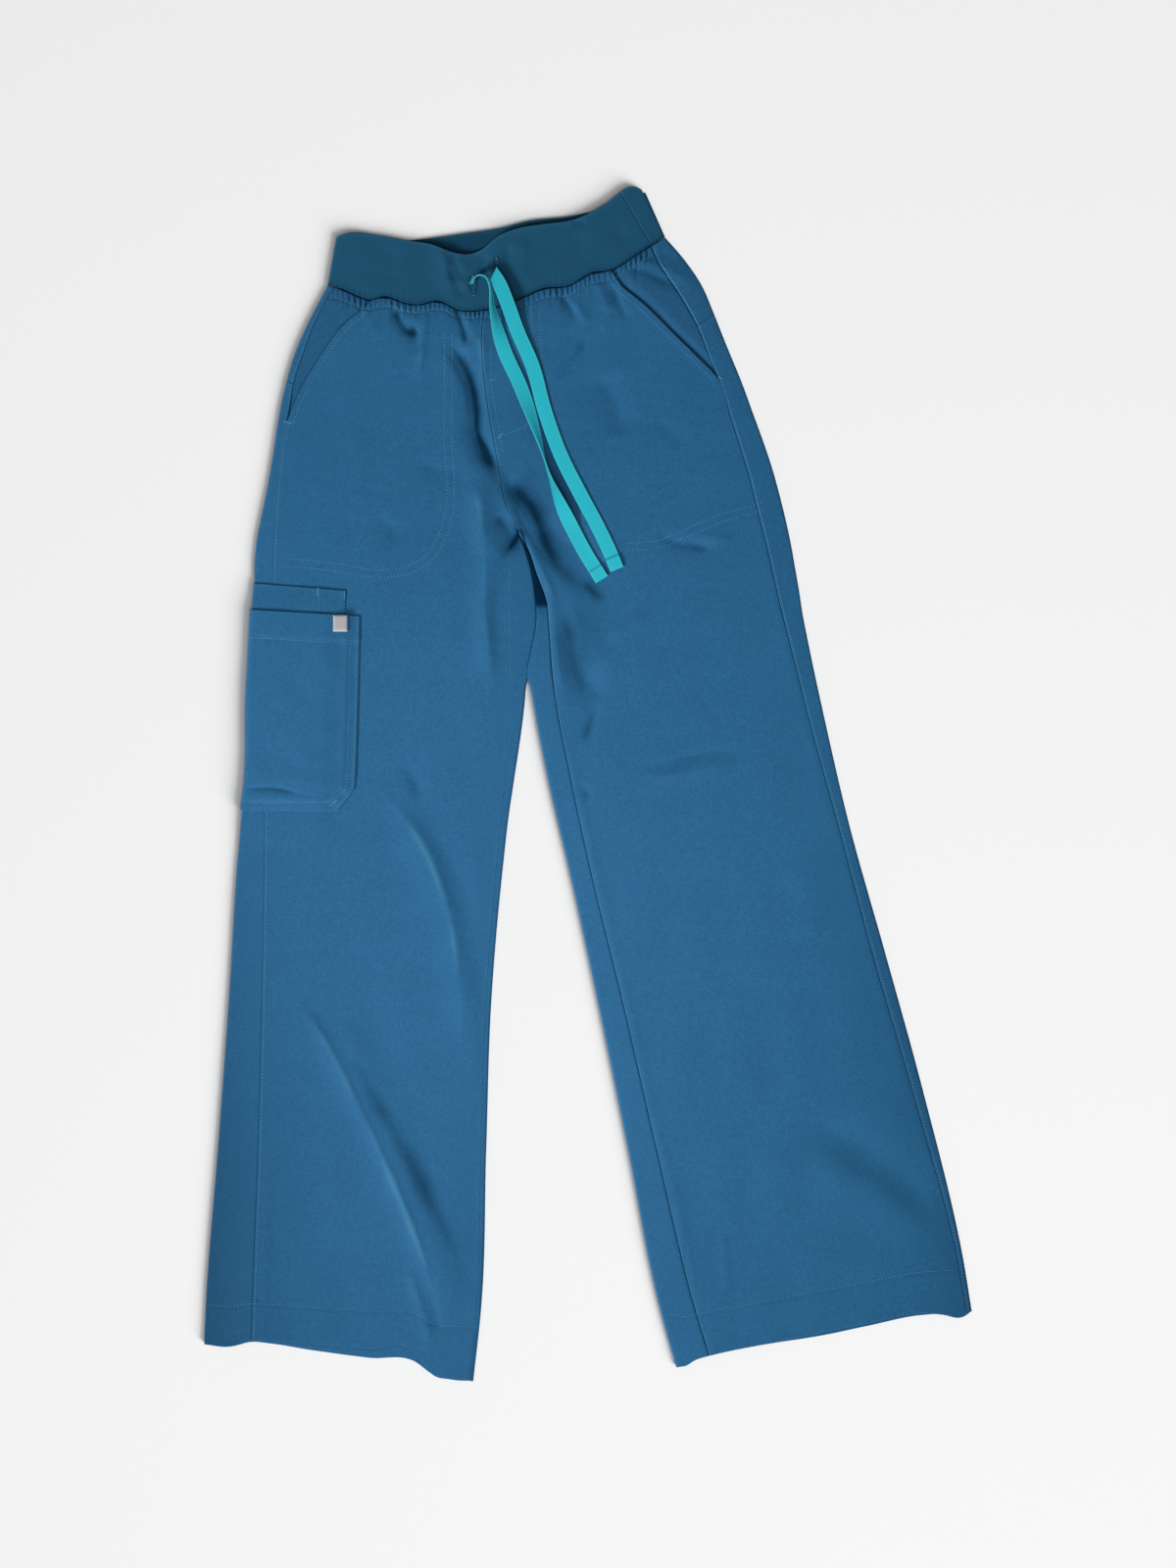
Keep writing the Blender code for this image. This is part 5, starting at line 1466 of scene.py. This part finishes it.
def makeBand(half):
    near = np.array(band["rowStops"]) / band["tall"]
    ups = np.concatenate((1 - near, np.linspace(1 - near[-1], near[-1], band["rows"])[1:-1], near[::-1]))
    rows = [bandRow(up, half) for up in ups]
    fromTop = (1 - ups) * band["tall"]
    marks = {"paintedHighlight": [], "hollow": []}
    for row, up, down in zip(rows, ups, fromTop):
        inside = (half == "back") * (row[:, 2] < 0.5)
        # painted highlight along its top edge, painted shade at its foot and on its inside
        marks["paintedHighlight"].append(np.full(len(row), fade(down, *band["paintedHighlight"])))
        dark = fade(up * band["tall"], *band["footShade"])
        marks["hollow"].append(np.maximum(dark, band["insideShade"] * inside))
    name, node = f"waistband_{half}_half", f"waistband_{half}"
    return makePiece(name, node, rows, fromTop, marks, bandKnit, "waist_knit", wall=band["wall"])


bandFront, bandBack = (makeBand(half) for half in ("front", "back"))

# cargo pocket, pen pocket and tab

pocket = {
    "part": 6 / 16,  # of the way from the side seam to the inseam
    "cutPart": 5 / 16,  # the same at the foot of its cut corner
    "columns": 56,
    "stripColumns": 9,
    "rowStep": 1.6,
    "flat": 22,
    "flatPart": 0.26,
    "mouth": (0.35, 22, 25),  # the turned mouth is thicker
    "mouthLine": 24,
    "mouthGroove": (0.25, 1.4),
    "rows": (2.5, 8.2),  # of stitches beside its edge
    "rowGroove": (0.14, 1.3),
    "penEdge": ((4, 13), (4, 12)),  # where the pen layer below it ends, from the edge and from the foot
    "roll": 0.35,
    "mouthRoll": 0.5,
    # painted highlight along the mouth, the edge and the foot; painted shade in its troughs
    "mouthHighlight": (0.5, 0.9),
    "edgeHighlight": (0.45, 1.0),
    "footHighlight": (0.3, 1.0),
    "shade": (0.5, 0.4, 1.1),
    "frontStart": (-3, 6),
}
penPocket = {
    "part": 5 / 16,
    "columns": 50,
    "hidden": 6,
    "roll": 0.8,
    # painted highlight along its edge, painted shade where it goes under the cargo pocket
    "edgeHighlight": (0.3, 1.0),
    "shade": (0.75, 18, 25),
}


def toEnd(rows):  # distances along each row from its last point
    return np.array([walked(row)[-1] - walked(row) for row in rows])


def moveOut(grid, distances):
    normals = unit(np.cross(np.gradient(grid, axis=0), np.gradient(grid, axis=1)))
    moved = grid + normals * np.asarray(distances)[None, :, None]
    moved[:, :, 2] = np.maximum(moved[:, :, 2], 0.0)
    return moved


def pocketGround(places, parts, columns):  # the leg below a pocket, from underneath round to the front
    outer, side, edge, seam = (right.line(column, places) for column in ("outer", "side", "edge", "seam"))
    lift = pocketLift(right, outer[:, 0], outer[:, 1])
    turn = turnPoints(outer, edge, lift, -90, 90, backPanel["turn"])
    start, far = toward(outer, edge, cloth["fold"]), toward(edge, outer, cloth["fold"])
    flatParts = np.linspace(pocket["flatPart"], 0, pocket["flat"] + 1)[:-1]
    flat = between(start, far, flatParts[:, None])
    flat = np.concatenate((flat, pocketLift(right, flat[..., 0], flat[..., 1])[:, :, None]), axis=2)
    fold, steps = turn[:, -1, :2], np.linspace(0, 1, pocket["stripColumns"] + 1)
    strip = between(fold, side, steps[1:, None])
    front = between(side, seam, (np.linspace(0, 1, columns + 1)[1:] * parts[:, None])[:, :, None])
    x, y = right.follow(np.concatenate((strip, front), axis=1), places, "front")
    return np.concatenate((flat, turn, np.stack((x, y, plainHeight(right, x, y)), axis=2)), axis=1)


def makePocket():
    mouth, corner, foot = (right.place(name) for name in ("pocket mouth", "pocket corner", "pocket foot"))
    places = placesAlong(mouth, foot, pocket["rowStep"])
    parts = mix(pocket["part"], pocket["cutPart"], np.clip((places - corner) / (foot - corner), 0, 1))
    ground = pocketGround(places, parts, pocket["columns"])
    layer = cloth["wall"] + cloth["layerGap"]
    turned = pocket["flat"] + backPanel["turn"]
    counts = np.arange(ground.shape[1])
    grid = moveOut(ground, layer + layer * stepBetween(pocket["flat"], turned, counts))
    fromEdge = toEnd(grid)
    fromMouth, fromFoot = (places - mouth)[:, None], (foot - places)[:, None]
    front = stepBetween(*(turned + np.array(pocket["frontStart"])), counts)[None, :]
    most, low, high = pocket["mouth"]
    x, y = grid[..., 0], grid[..., 1]
    relief = creaseRelief(x, y, pocketCreases) + softWaves(x, y, "pocket")
    relief += most * (1 - stepBetween(low, high, fromMouth))
    relief -= hump(fromMouth - pocket["mouthLine"], *pocket["mouthGroove"])
    for row in pocket["rows"]:
        for gap in (fromEdge, fromFoot):
            relief -= hump(gap - row, *pocket["rowGroove"])
    besideEdge, besideFoot = pocket["penEdge"]
    beyond = 1 - stepBetween(*besideEdge, fromEdge) * stepBetween(*besideFoot, fromFoot)
    rolled = edgeRoll(fromEdge, pocket["roll"]) + edgeRoll(fromFoot, pocket["roll"])
    rolled = rolled + edgeRoll(fromMouth, pocket["mouthRoll"])
    grid[..., 2] += (relief - layer * beyond - rolled) * front
    # painted highlight along the mouth, the edge and the foot; painted shade in its troughs
    paintedHighlight = fade(fromMouth, *pocket["mouthHighlight"]) + fade(fromEdge, *pocket["edgeHighlight"])
    paintedHighlight = paintedHighlight + fade(fromFoot, *pocket["footHighlight"])
    marks = {"paintedHighlight": list(paintedHighlight * front), "hollow": list(grown(-relief, *pocket["shade"]) * front)}
    return makePiece("cargo_pocket_outer", "cargo_pocket", list(grid), places, marks)


def makePenPocket():
    mouth, foot = right.place("pen mouth"), right.place("pocket corner")
    places = placesAlong(mouth, foot, pocket["rowStep"])
    ground = pocketGround(places, np.full(len(places), penPocket["part"]), penPocket["columns"])
    ground = ground[:, pocket["flat"] + penPocket["hidden"]:]
    grid = moveOut(ground, np.full(ground.shape[1], cloth["wall"] + cloth["layerGap"]))
    fromEdge = toEnd(grid)
    fromMouth = (places - mouth)[:, None]
    grid[..., 2] -= edgeRoll(fromEdge, penPocket["roll"]) + edgeRoll(fromMouth, pocket["mouthRoll"])
    # painted highlight along its mouth and edge, painted shade where it goes under the cargo pocket
    paintedHighlight = fade(fromMouth, *pocket["mouthHighlight"]) + fade(fromEdge, *penPocket["edgeHighlight"])
    marks = {"paintedHighlight": list(paintedHighlight), "hollow": list(grown(fromMouth, *penPocket["shade"]) + 0 * fromEdge)}
    return makePiece("pen_pocket_layer", "cargo_pen_pocket", list(grid), places, marks)


tab = {
    "centre": (-222.5, 144.5),
    "size": (13, 15),
    "wall": 0.9,
    "steps": 12,
    "roll": 0.7,
    "groove": (0.12, 0.5),
    "grooveLine": 1.6,
    # painted highlight along its border
    "paintedHighlight": (0.5, 0.8),
}


def makeTab():
    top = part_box("pocket_tab")[1][2] / mm
    wide, tall = tab["size"]
    spread = np.linspace(-0.5, 0.5, tab["steps"] + 1)
    rows, paintedHighlights = [], []
    for down in spread:
        border = np.minimum((0.5 - abs(spread)) * wide, (0.5 - abs(down)) * tall)
        z = top - edgeRoll(border, tab["roll"]) - hump(border - tab["grooveLine"], *tab["groove"])
        y = np.full(len(spread), tab["centre"][1] - tall * down)
        rows.append(np.stack((tab["centre"][0] + wide * spread, y, z), axis=1))
        # painted highlight along its border
        paintedHighlights.append(fade(border, *tab["paintedHighlight"]))
    marks, places = {"paintedHighlight": paintedHighlights, "hollow": [0 * paintedHighlight for paintedHighlight in paintedHighlights]}, (spread + 0.5) * tall
    return makePiece("grey_tab", "pocket_tab", rows, places, marks, tabWeave, "woven_tab", wall=tab["wall"])


penLayer = makePenPocket()
cargoPocket = makePocket()
greyTab = makeTab()
print("cloth pieces ready")

# drawstring

tape = {
    "width": 12.7,
    "wall": 0.9,
    "rows": 60,
    "shares": (-0.5, -0.47, -0.42, -0.3, -0.15, 0, 0.15, 0.3, 0.42, 0.47, 0.5),  # of its width
    "clearance": 0.35,
    "feel": 2.5,  # how far along it the ground's height is felt
    "finerRows": 4,
    "rounding": 3,  # rounds what the finer rows leave in corners
    "cup": 0.10,
    "crumple": 1.3,
    "edgewise": 0.45,  # share of the width that stands up where the tape turns over, softly crumpled
    "slitReach": 15,  # from along the buttonhole's slit to square across the tape
    "slit": {"left": (-0.444, -0.896)},
    "foldedEnd": 12,
    "foldStep": (-0.8, 0.4),
    "foldHeight": 0.75,
    # painted highlight along the edges and the end, painted shade at the folded end
    "edgeHighlight": (0.9, 0.5),
    "endHighlight": (0.4, 0.6),
    "foldShade": (0.8, 0.55),
}


def clothHeight(x, y):  # the top layer, for what lies on it
    share = (x - waistSeam[0][0]) / (waistSeam[-1][0] - waistSeam[0][0])
    divide = 0.5 * (right.edgeX("edge", y) + left.edgeX("edge", y))
    leg = np.where(x < divide, topHeight(right, x, y), topHeight(left, x, y))
    return np.where(y > waistY(x) - 1, bandHeight(share, 0.5) + 0.5, leg)


def tapeWidth(roll):
    return tape["width"] * (1 - (1 - tape["edgewise"]) * np.sin(roll) ** 4)


def tapeLine(table):  # middle line, its height, its sideways direction and its roll
    points = np.array([(row.x, row.y) for row in table], float)
    knots = walked(points)
    places = np.linspace(0, knots[-1], tape["rows"] + 1)
    middle = smooth(knots, points, places)
    lift = smooth(knots, [row.lift for row in table], places)
    roll = np.radians(smooth(knots, [row.roll for row in table], places))
    way = unit(np.gradient(middle, axis=0))
    aside = np.stack((way[:, 1], -way[:, 0]), axis=1)
    near = [
        middle + aside * tape["width"] * share + way * tape["feel"] * along
        for share in (-0.5, -0.25, 0.0, 0.25, 0.5) for along in (-1, 0, 1)
    ]
    ground = np.max([clothHeight(spots[:, 0], spots[:, 1]) for spots in near], axis=0)
    padded = np.pad(ground, 4, mode="edge")
    highest = np.array([padded[k:k + 5].max() for k in range(len(ground) + 4)])
    level = np.array([highest[k:k + 5].mean() for k in range(len(ground))])
    level += tape["clearance"] + tape["wall"] / 2 + np.maximum(lift, 0)
    level += abs(np.sin(roll)) * tapeWidth(roll) / 2
    return middle, level, aside, roll


def makeTape(side, table):
    course = [finer(values, tape["finerRows"]) for values in tapeLine(table)]
    for k in range(tape["rounding"]):
        for values in course:
            values[1:-1] = (values[:-2] + 2 * values[1:-1] + values[2:]) / 4
    middle, level, aside, roll = course
    aside = unit(aside)
    path = np.concatenate((middle, level[:, None]), axis=1)
    along = walked(path)
    if side in tape["slit"]:  # comes out of its buttonhole along the slit
        lean = stepBetween(0, tape["slitReach"], along)[:, None]
        aside = unit(mix(np.array(tape["slit"][side])[None, :], aside, lean))
    shares = np.array(tape["shares"])
    foldFrom, foldTo = tape["foldedEnd"] + np.array(tape["foldStep"])
    rows, paintedHighlights, hollows = [], [], []
    for point, sideways, angle, at in zip(path, aside, roll, along):
        fromEnd = along[-1] - at
        thick = tape["foldHeight"] * (1 - stepBetween(foldFrom, foldTo, fromEnd))
        normal = np.array([-sin(angle) * sideways[0], -sin(angle) * sideways[1], cos(angle)])
        acrossWay = np.array([sideways[0] * cos(angle), sideways[1] * cos(angle), sin(angle)])
        width = float(tapeWidth(angle))
        cup = tape["cup"] * np.cos(2 * pi * shares)
        cup = cup + tape["crumple"] * (1 - width / tape["width"]) * np.sin(2 * pi * shares)
        upward = 1.0 if cos(angle) >= 0 else -1.0
        rows.append(point + acrossWay * (shares * width)[:, None] + normal * (cup + thick * upward)[:, None])
        # painted highlight along the edges and the end, painted shade at the folded end
        paintedHighlights.append(fade((0.5 - abs(shares)) * width, *tape["edgeHighlight"]) + fade(fromEnd, *tape["endHighlight"]))
        hollows.append(np.full(len(shares), hump(fromEnd - tape["foldedEnd"], *tape["foldShade"])))
    uv = [np.stack((shares * tape["width"], np.full(len(shares), at)), axis=1) for at in along]
    marks = {"paintedHighlight": paintedHighlights, "hollow": hollows}
    piece = makeCloth(f"drawstring_end_{side}", rows, uv, tapeWeave, marks, tape["wall"], offset=0.0)
    finish(piece, "drawstring_tape", f"drawstring_{side}")
    print(f"drawstring {side}: {along[-1]:.1f} mm")
    return piece, rows


tapeRightPiece, tapeRightRows = makeTape("right", tapeRight)
tapeLeftPiece, tapeLeftRows = makeTape("left", tapeLeft)

# sewing

stitch = {"pitch": 3.0, "long": 2.0, "wide": 0.55, "high": 0.4, "turn": 0.0, "above": 0.1}
stitchShape = {"wobble": 0.07, "seed": 11, "roundness": 1}


def stitchTree(name, material):  # small rounded stitches along the edges of a mesh
    tree = bpy.data.node_groups.new(name, "GeometryNodeTree")
    face = tree.interface
    face.new_socket("Geometry", in_out="INPUT", socket_type="NodeSocketGeometry")
    for label, value in seamValues().items():
        face.new_socket(label, in_out="INPUT", socket_type="NodeSocketFloat").default_value = value
    face.new_socket("Geometry", in_out="OUTPUT", socket_type="NodeSocketGeometry")
    node = tree.nodes.new
    enter, leave = node("NodeGroupInput"), node("NodeGroupOutput")
    curve = node("GeometryNodeMeshToCurve")
    resample = node("GeometryNodeResampleCurve")
    resample.mode = "LENGTH"
    tangent = node("GeometryNodeInputTangent")
    align = node("FunctionNodeAlignRotationToVector")
    align.axis = "X"
    turn = node("FunctionNodeRotateRotation")
    turn.rotation_space = "LOCAL"
    euler = node("FunctionNodeEulerToRotation")
    spin = node("ShaderNodeCombineXYZ")
    wobble = node("FunctionNodeRandomValue")
    wobble.data_type = "FLOAT"
    spread = stitchShape["wobble"]
    setInputs(wobble, {2: -spread, 3: spread, "Seed": stitchShape["seed"]})
    total = node("ShaderNodeMath")
    total.operation = "ADD"
    ball = node("GeometryNodeMeshIcoSphere")
    setInputs(ball, {"Radius": 0.5, "Subdivisions": stitchShape["roundness"]})
    size = node("ShaderNodeCombineXYZ")
    place = node("GeometryNodeInstanceOnPoints")
    real = node("GeometryNodeRealizeInstances")
    soften = node("GeometryNodeSetShadeSmooth")
    paint = node("GeometryNodeSetMaterial")
    paint.inputs["Material"].default_value = material
    for source, giving, target, taking in (
        (enter, "Geometry", curve, "Mesh"), (curve, "Curve", resample, "Curve"),
        (enter, "Pitch", resample, "Length"), (resample, "Curve", place, "Points"),
        (tangent, "Tangent", align, "Vector"), (enter, "Turn", total, 0), (wobble, 1, total, 1),
        (total, 0, spin, "Z"), (spin, 0, euler, 0), (align, "Rotation", turn, "Rotation"),
        (euler, "Rotation", turn, "Rotate By"), (turn, "Rotation", place, "Rotation"),
        (ball, "Mesh", place, "Instance"), (enter, "Long", size, "X"), (enter, "Wide", size, "Y"),
        (enter, "High", size, "Z"), (size, 0, place, "Scale"), (place, "Instances", real, "Geometry"),
        (real, "Geometry", soften, "Geometry"), (soften, 0, paint, "Geometry"),
        (paint, "Geometry", leave, "Geometry"),
    ):
        tree.links.new(source.outputs[giving], target.inputs[taking])
    return tree


def sew(name, lines, material, values, slotName):  # lines are lists of points in metres, on the cloth
    points, edges = [], []
    for line in lines:
        edges += [(len(points) + k, len(points) + k + 1) for k in range(len(line) - 1)]
        points += line
    mesh = bpy.data.meshes.new(name)
    mesh.from_pydata(points, edges, [])
    guide = addObject(name, mesh)
    tree = stitchTree(name + " stitches", material)
    nodes = guide.modifiers.new("stitches", "NODES")
    nodes.node_group = tree
    for item in tree.interface.items_tree:
        if item.item_type == "SOCKET" and item.in_out == "INPUT" and item.name in values:
            nodes[item.identifier] = float(values[item.name])
    bpy.context.view_layer.update()
    made = bpy.data.meshes.new_from_object(guide.evaluated_get(bpy.context.evaluated_depsgraph_get()))
    guide.modifiers.clear()
    made.name = name
    guide.data = made
    print(name, len(made.polygons), "faces")
    return finish(guide, slotName)


def seamValues(**changes):
    sizes = {**stitch, **changes}
    values = {name.capitalize(): sizes[name] * mm for name in ("pitch", "long", "wide", "high")}
    return {**values, "Turn": sizes["turn"]}


def sewnLine(path, aside=0.0, step=2.0, fromBelow=False, above=stitch["above"]):  # dropped on the cloth
    points = curveThrough(path, step)
    if aside:
        way = unit(np.gradient(points, axis=0))
        points = points + np.stack((-way[:, 1], way[:, 0]), axis=1) * aside
    high = above * mm * (-1 if fromBelow else 1)
    return [(x, y, z + high) for x, y, z in dropTo(points, fromBelow)]


def legLine(leg, column, start, end, inset, toColumn="seam"):  # beside a seam of a leg
    places = np.arange(start, end, sewing["seamStep"])
    first, other = leg.line(column, places), leg.line(toColumn, places)
    x, y = leg.follow(toward(first, other, inset)[:, None, :], places, "front")
    return np.stack((x[:, 0], y[:, 0]), axis=1)


def crossLine(leg, at, low, high, count=60, layer="front"):  # across a leg at a distance from the waist
    first, last = leg.line(low, at), leg.line(high, at)
    margin = sewing["margin"]
    flat = first + (last - first) * np.linspace(margin, 1 - margin, count)[:, None]
    x, y = leg.follow(flat[None], [at], layer)
    return np.stack((x[0], y[0]), axis=1)


def crossRows(places, low, high, count=60, start=0, end=None, fromBelow=False):  # the same line on both legs
    layer = "back" if fromBelow else "front"
    lines = [crossLine(leg, at, low, high, count, layer)[start:end] for leg, at in zip(legs, places)]
    return [sewnLine(line, fromBelow=fromBelow) for line in lines]


sewing = {
    "seamStep": 6.0,
    "margin": 0.015,  # left free at both ends of a line across a leg, as a share
    "waistStep": 1.6,
    "belowYoke": 2.4,
    "seams": (  # leg, edge, from and to a section with a distance past it, distance from the edge, toward
        (right, "side", ("waist", 20), ("mouth low", 0), 1.6, "outer"),
        (right, "side", ("mouth end", 2), ("pen mouth", 0), 2.0, "seam"),
        (right, "side", ("pocket foot", 3), ("hem", -1), 2.0, "seam"),
        (left, "side", ("waist", 20), ("mouth low", 0), 1.6, "outer"),
        (left, "side", ("mouth end", 2), ("hem", -1), 2.2, "outer"),
        (right, "mouth", ("waist", gathers["stitchDepth"]), ("mouth end", 6), 6.2, "seam"),
        (left, "mouth", ("waist", gathers["stitchDepth"]), ("mouth end", 6), 6.2, "seam"),
    ),
    "bags": (  # each pocket bag's course, and how far its second row lies to the side
        (((-129, 404), (-129, 370), (-129, 301), (-127, 272), (-128, 247), (-136, 221), (-147, 205),
          (-167, 195), (-189, 193), (-223, 198), (-257, 202), (-281, 203)), 6.8),
        (((-51, 430), (-50, 405), (-48, 380)), 7),
        (((37, 217), (65, 220), (87, 229), (118, 242), (156, 253)), -6.5),
    ),
    "fly": (
        ((-87, 392), (-87, 361), (-84, 340), (-80, 320), (-77, 300)),
        ((-78, 313), (-66, 318), (-58, 322), (-52, 328)),
    ),
    "penRows": (((-242, 176), (-242, 158)), ((-219.5, 172), (-218.5, 156))),
    "penAbove": 0.12,
    "mouthRow": ((-303, 131.872), (-210, 125.936)),
    "tacks": (
        ((-81, 311), (-77, 316)), ((-87, 364), (-84, 364)), ((-243.2, 177), (-243.0, 170)),
        ((-219.0, 173.5), (-219.0, 167)), ((-274, 327), (-267, 325)), ((115, 369), (121, 365)),
        ((-232, -20), (-226, -14.5)),
    ),
    "tack": {"pitch": 0.62, "long": 1.8, "wide": 0.5, "turn": pi / 2},
}


def makeTopstitching():
    waist = [crossLine(leg, gathers["stitchDepth"], "side", "seam", 90) for leg in legs]
    rows = [sewnLine(line, step=sewing["waistStep"]) for line in waist]
    for leg, edge, (start, past), (end, before), inset, toColumn in sewing["seams"]:
        first, last = leg.place(start) + past, leg.place(end) + before
        rows.append(sewnLine(legLine(leg, edge, first, last, inset, toColumn)))
    turnUps = [leg.length - hems["turnUp"] for leg in legs]
    rows += crossRows(turnUps, "side", "seam") + crossRows(turnUps, "outer", "side", 14, 1)
    rows += crossRows(turnUps, "seam", "edge", 10, 0, -1)
    rows += crossRows(turnUps, "outer", "edge", 60, 2, -2, True)
    for bag, aside in sewing["bags"]:
        rows += [sewnLine(bag), sewnLine(bag, aside)]
    rows += [sewnLine(path) for path in sewing["fly"]]
    yokes = [leg.place("yoke") + sewing["belowYoke"] for leg in legs]
    rows += crossRows(yokes, "outer", "edge", 60, 3, -1, True) + crossRows(yokes, "outer", "side", 16, 1)
    return sew("topstitching", rows, seamThread, seamValues(), "twill_cloth")


def makePocketStitching():
    mouth, corner, foot = (right.place(name) for name in ("pocket mouth", "pocket corner", "pocket foot"))
    down = np.arange(mouth + 1, corner + 2, 4.0)
    low = mix(right.line("side", foot), right.line("seam", foot), pocket["cutPart"])
    edge = mix(right.line("side", down), right.line("seam", down), pocket["part"])
    lines = []
    for inset in pocket["rows"]:
        path = np.concatenate((edge, low[None]))
        path[:, 0] -= inset
        path[-1] += (-0.4 * inset, inset)
        row = mix(right.line("outer", foot), low, np.linspace(0, 1, 30)[1:, None])
        lines += [path, [(x, y + inset) for x, y in row if x < low[0] - 0.4 * inset]]
    rows = [sewnLine(line) for line in lines + [sewing["mouthRow"]]]
    rows += [sewnLine(path, above=sewing["penAbove"]) for path in sewing["penRows"]]
    return sew("pocket_stitching", rows, seamThread, seamValues(), "twill_cloth")


topstitching = makeTopstitching()
pocketStitching = makePocketStitching()
tacks = [sewnLine(path, step=1) for path in sewing["tacks"]]
barTacks = sew("bar_tacks", tacks, seamThread, seamValues(**sewing["tack"]), "twill_cloth")

buttonholes = {  # each slit from its top to its foot, and how much of it the tape hides at the foot
    "slits": (((-104, 458), (-103, 442), 0), ((-82.5, 473), (-82, 459), 3.4)),
    "half": 1.5,
    "past": 1.2,  # the ring runs on past both ends of its slit
    "step": 0.8,
    "above": 0.2,
    "ring": {"pitch": 0.6, "long": 2.2, "wide": 0.5, "high": 0.5, "turn": pi / 2},
    "ends": {"pitch": 1.2, "long": 1.6, "wide": 0.35},
}


def makeButtonholes():
    rings, pale, past = [], [], buttonholes["past"]
    for top, foot, hidden in buttonholes["slits"]:
        top, foot = np.array(top, float), np.array(foot, float)
        way = unit(foot - top)
        side = np.array([-way[1], way[0]]) * buttonholes["half"]
        foot = foot - way * hidden
        turn = [foot + side, top + side, top - way * past, top - side, foot - side]
        pale.append(sewnLine((top - way * 1.5, top + way * 1.0), step=buttonholes["step"]))
        if not hidden:
            turn += [foot + way * past, foot + side]
            pale.append(sewnLine((foot - way, foot + way * 1.6), step=buttonholes["step"]))
        rings.append(sewnLine(turn, step=1, above=buttonholes["above"]))
    ring = sew("buttonhole_stitches", rings, bandThread, seamValues(**buttonholes["ring"]), "waist_knit")
    ends = sew("buttonhole_thread_ends", pale, paleThread, seamValues(**buttonholes["ends"]), "waist_knit")
    return ring, ends


buttonholeRing, buttonholeEnds = makeButtonholes()

tapeEnd = {"fromEnd": 9.5, "above": 0.12, "pitch": 2.4, "long": 1.9, "wide": 0.4}


def tapeStitches(rows):  # one line across each folded end
    rows = np.array(rows)
    along = walked(rows[:, len(tape["shares"]) // 2])
    at = int(np.searchsorted(along, along[-1] - tapeEnd["fromEnd"]))
    line = rows[at][1:-1] + np.array([0, 0, tape["wall"] / 2 + tapeEnd["above"]])
    return [tuple(point * mm) for point in line]


tapeSewing = sew(
    "drawstring_end_stitches", [tapeStitches(tapeRightRows), tapeStitches(tapeLeftRows)], tapeThread,
    seamValues(**tapeEnd), "drawstring_tape",
)

# floor

paper = {"colour": (0.80, 0.80, 0.80, 1), "half": 4.0, "below": 0.0004, "rough": 0.95, "specular": 0.1}


def makeFloor():
    mesh = bpy.data.meshes.new("studio floor")
    size = paper["half"]
    corners = [(-size, -size, 0), (size, -size, 0), (size, size, 0), (-size, size, 0)]
    mesh.from_pydata(corners, [], [(0, 1, 2, 3)])
    floor = addObject("studio floor", mesh)
    floor.location = (0, 0, -paper["below"])
    material, _, shader = newMaterial("pale paper")
    setInputs(shader, {
        "Base Color": paper["colour"], "Roughness": paper["rough"], "Specular IOR Level": paper["specular"],
    })
    mesh.materials.append(material)
    floor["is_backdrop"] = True
    return floor


floor = makeFloor()


def lightOnly(light, name, things):  # the light reaches these things and no others
    group = bpy.data.collections.new(name)
    for thing in things:
        group.objects.link(thing)
    light.light_linking.receiver_collection = group


tapes = [tapeRightPiece, tapeLeftPiece, tapeSewing]
reached = {
    "low key over the cloth": [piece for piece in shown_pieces() if piece not in tapes],
    "soft light over the tapes": tapes,
    "softbox over the cloth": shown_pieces(),
    "low light over the floor": [floor],
    "ceiling softbox": [floor],
}
for name, things in reached.items():
    lightOnly(lights[name], name + " reaches", things)
print("lights linked")
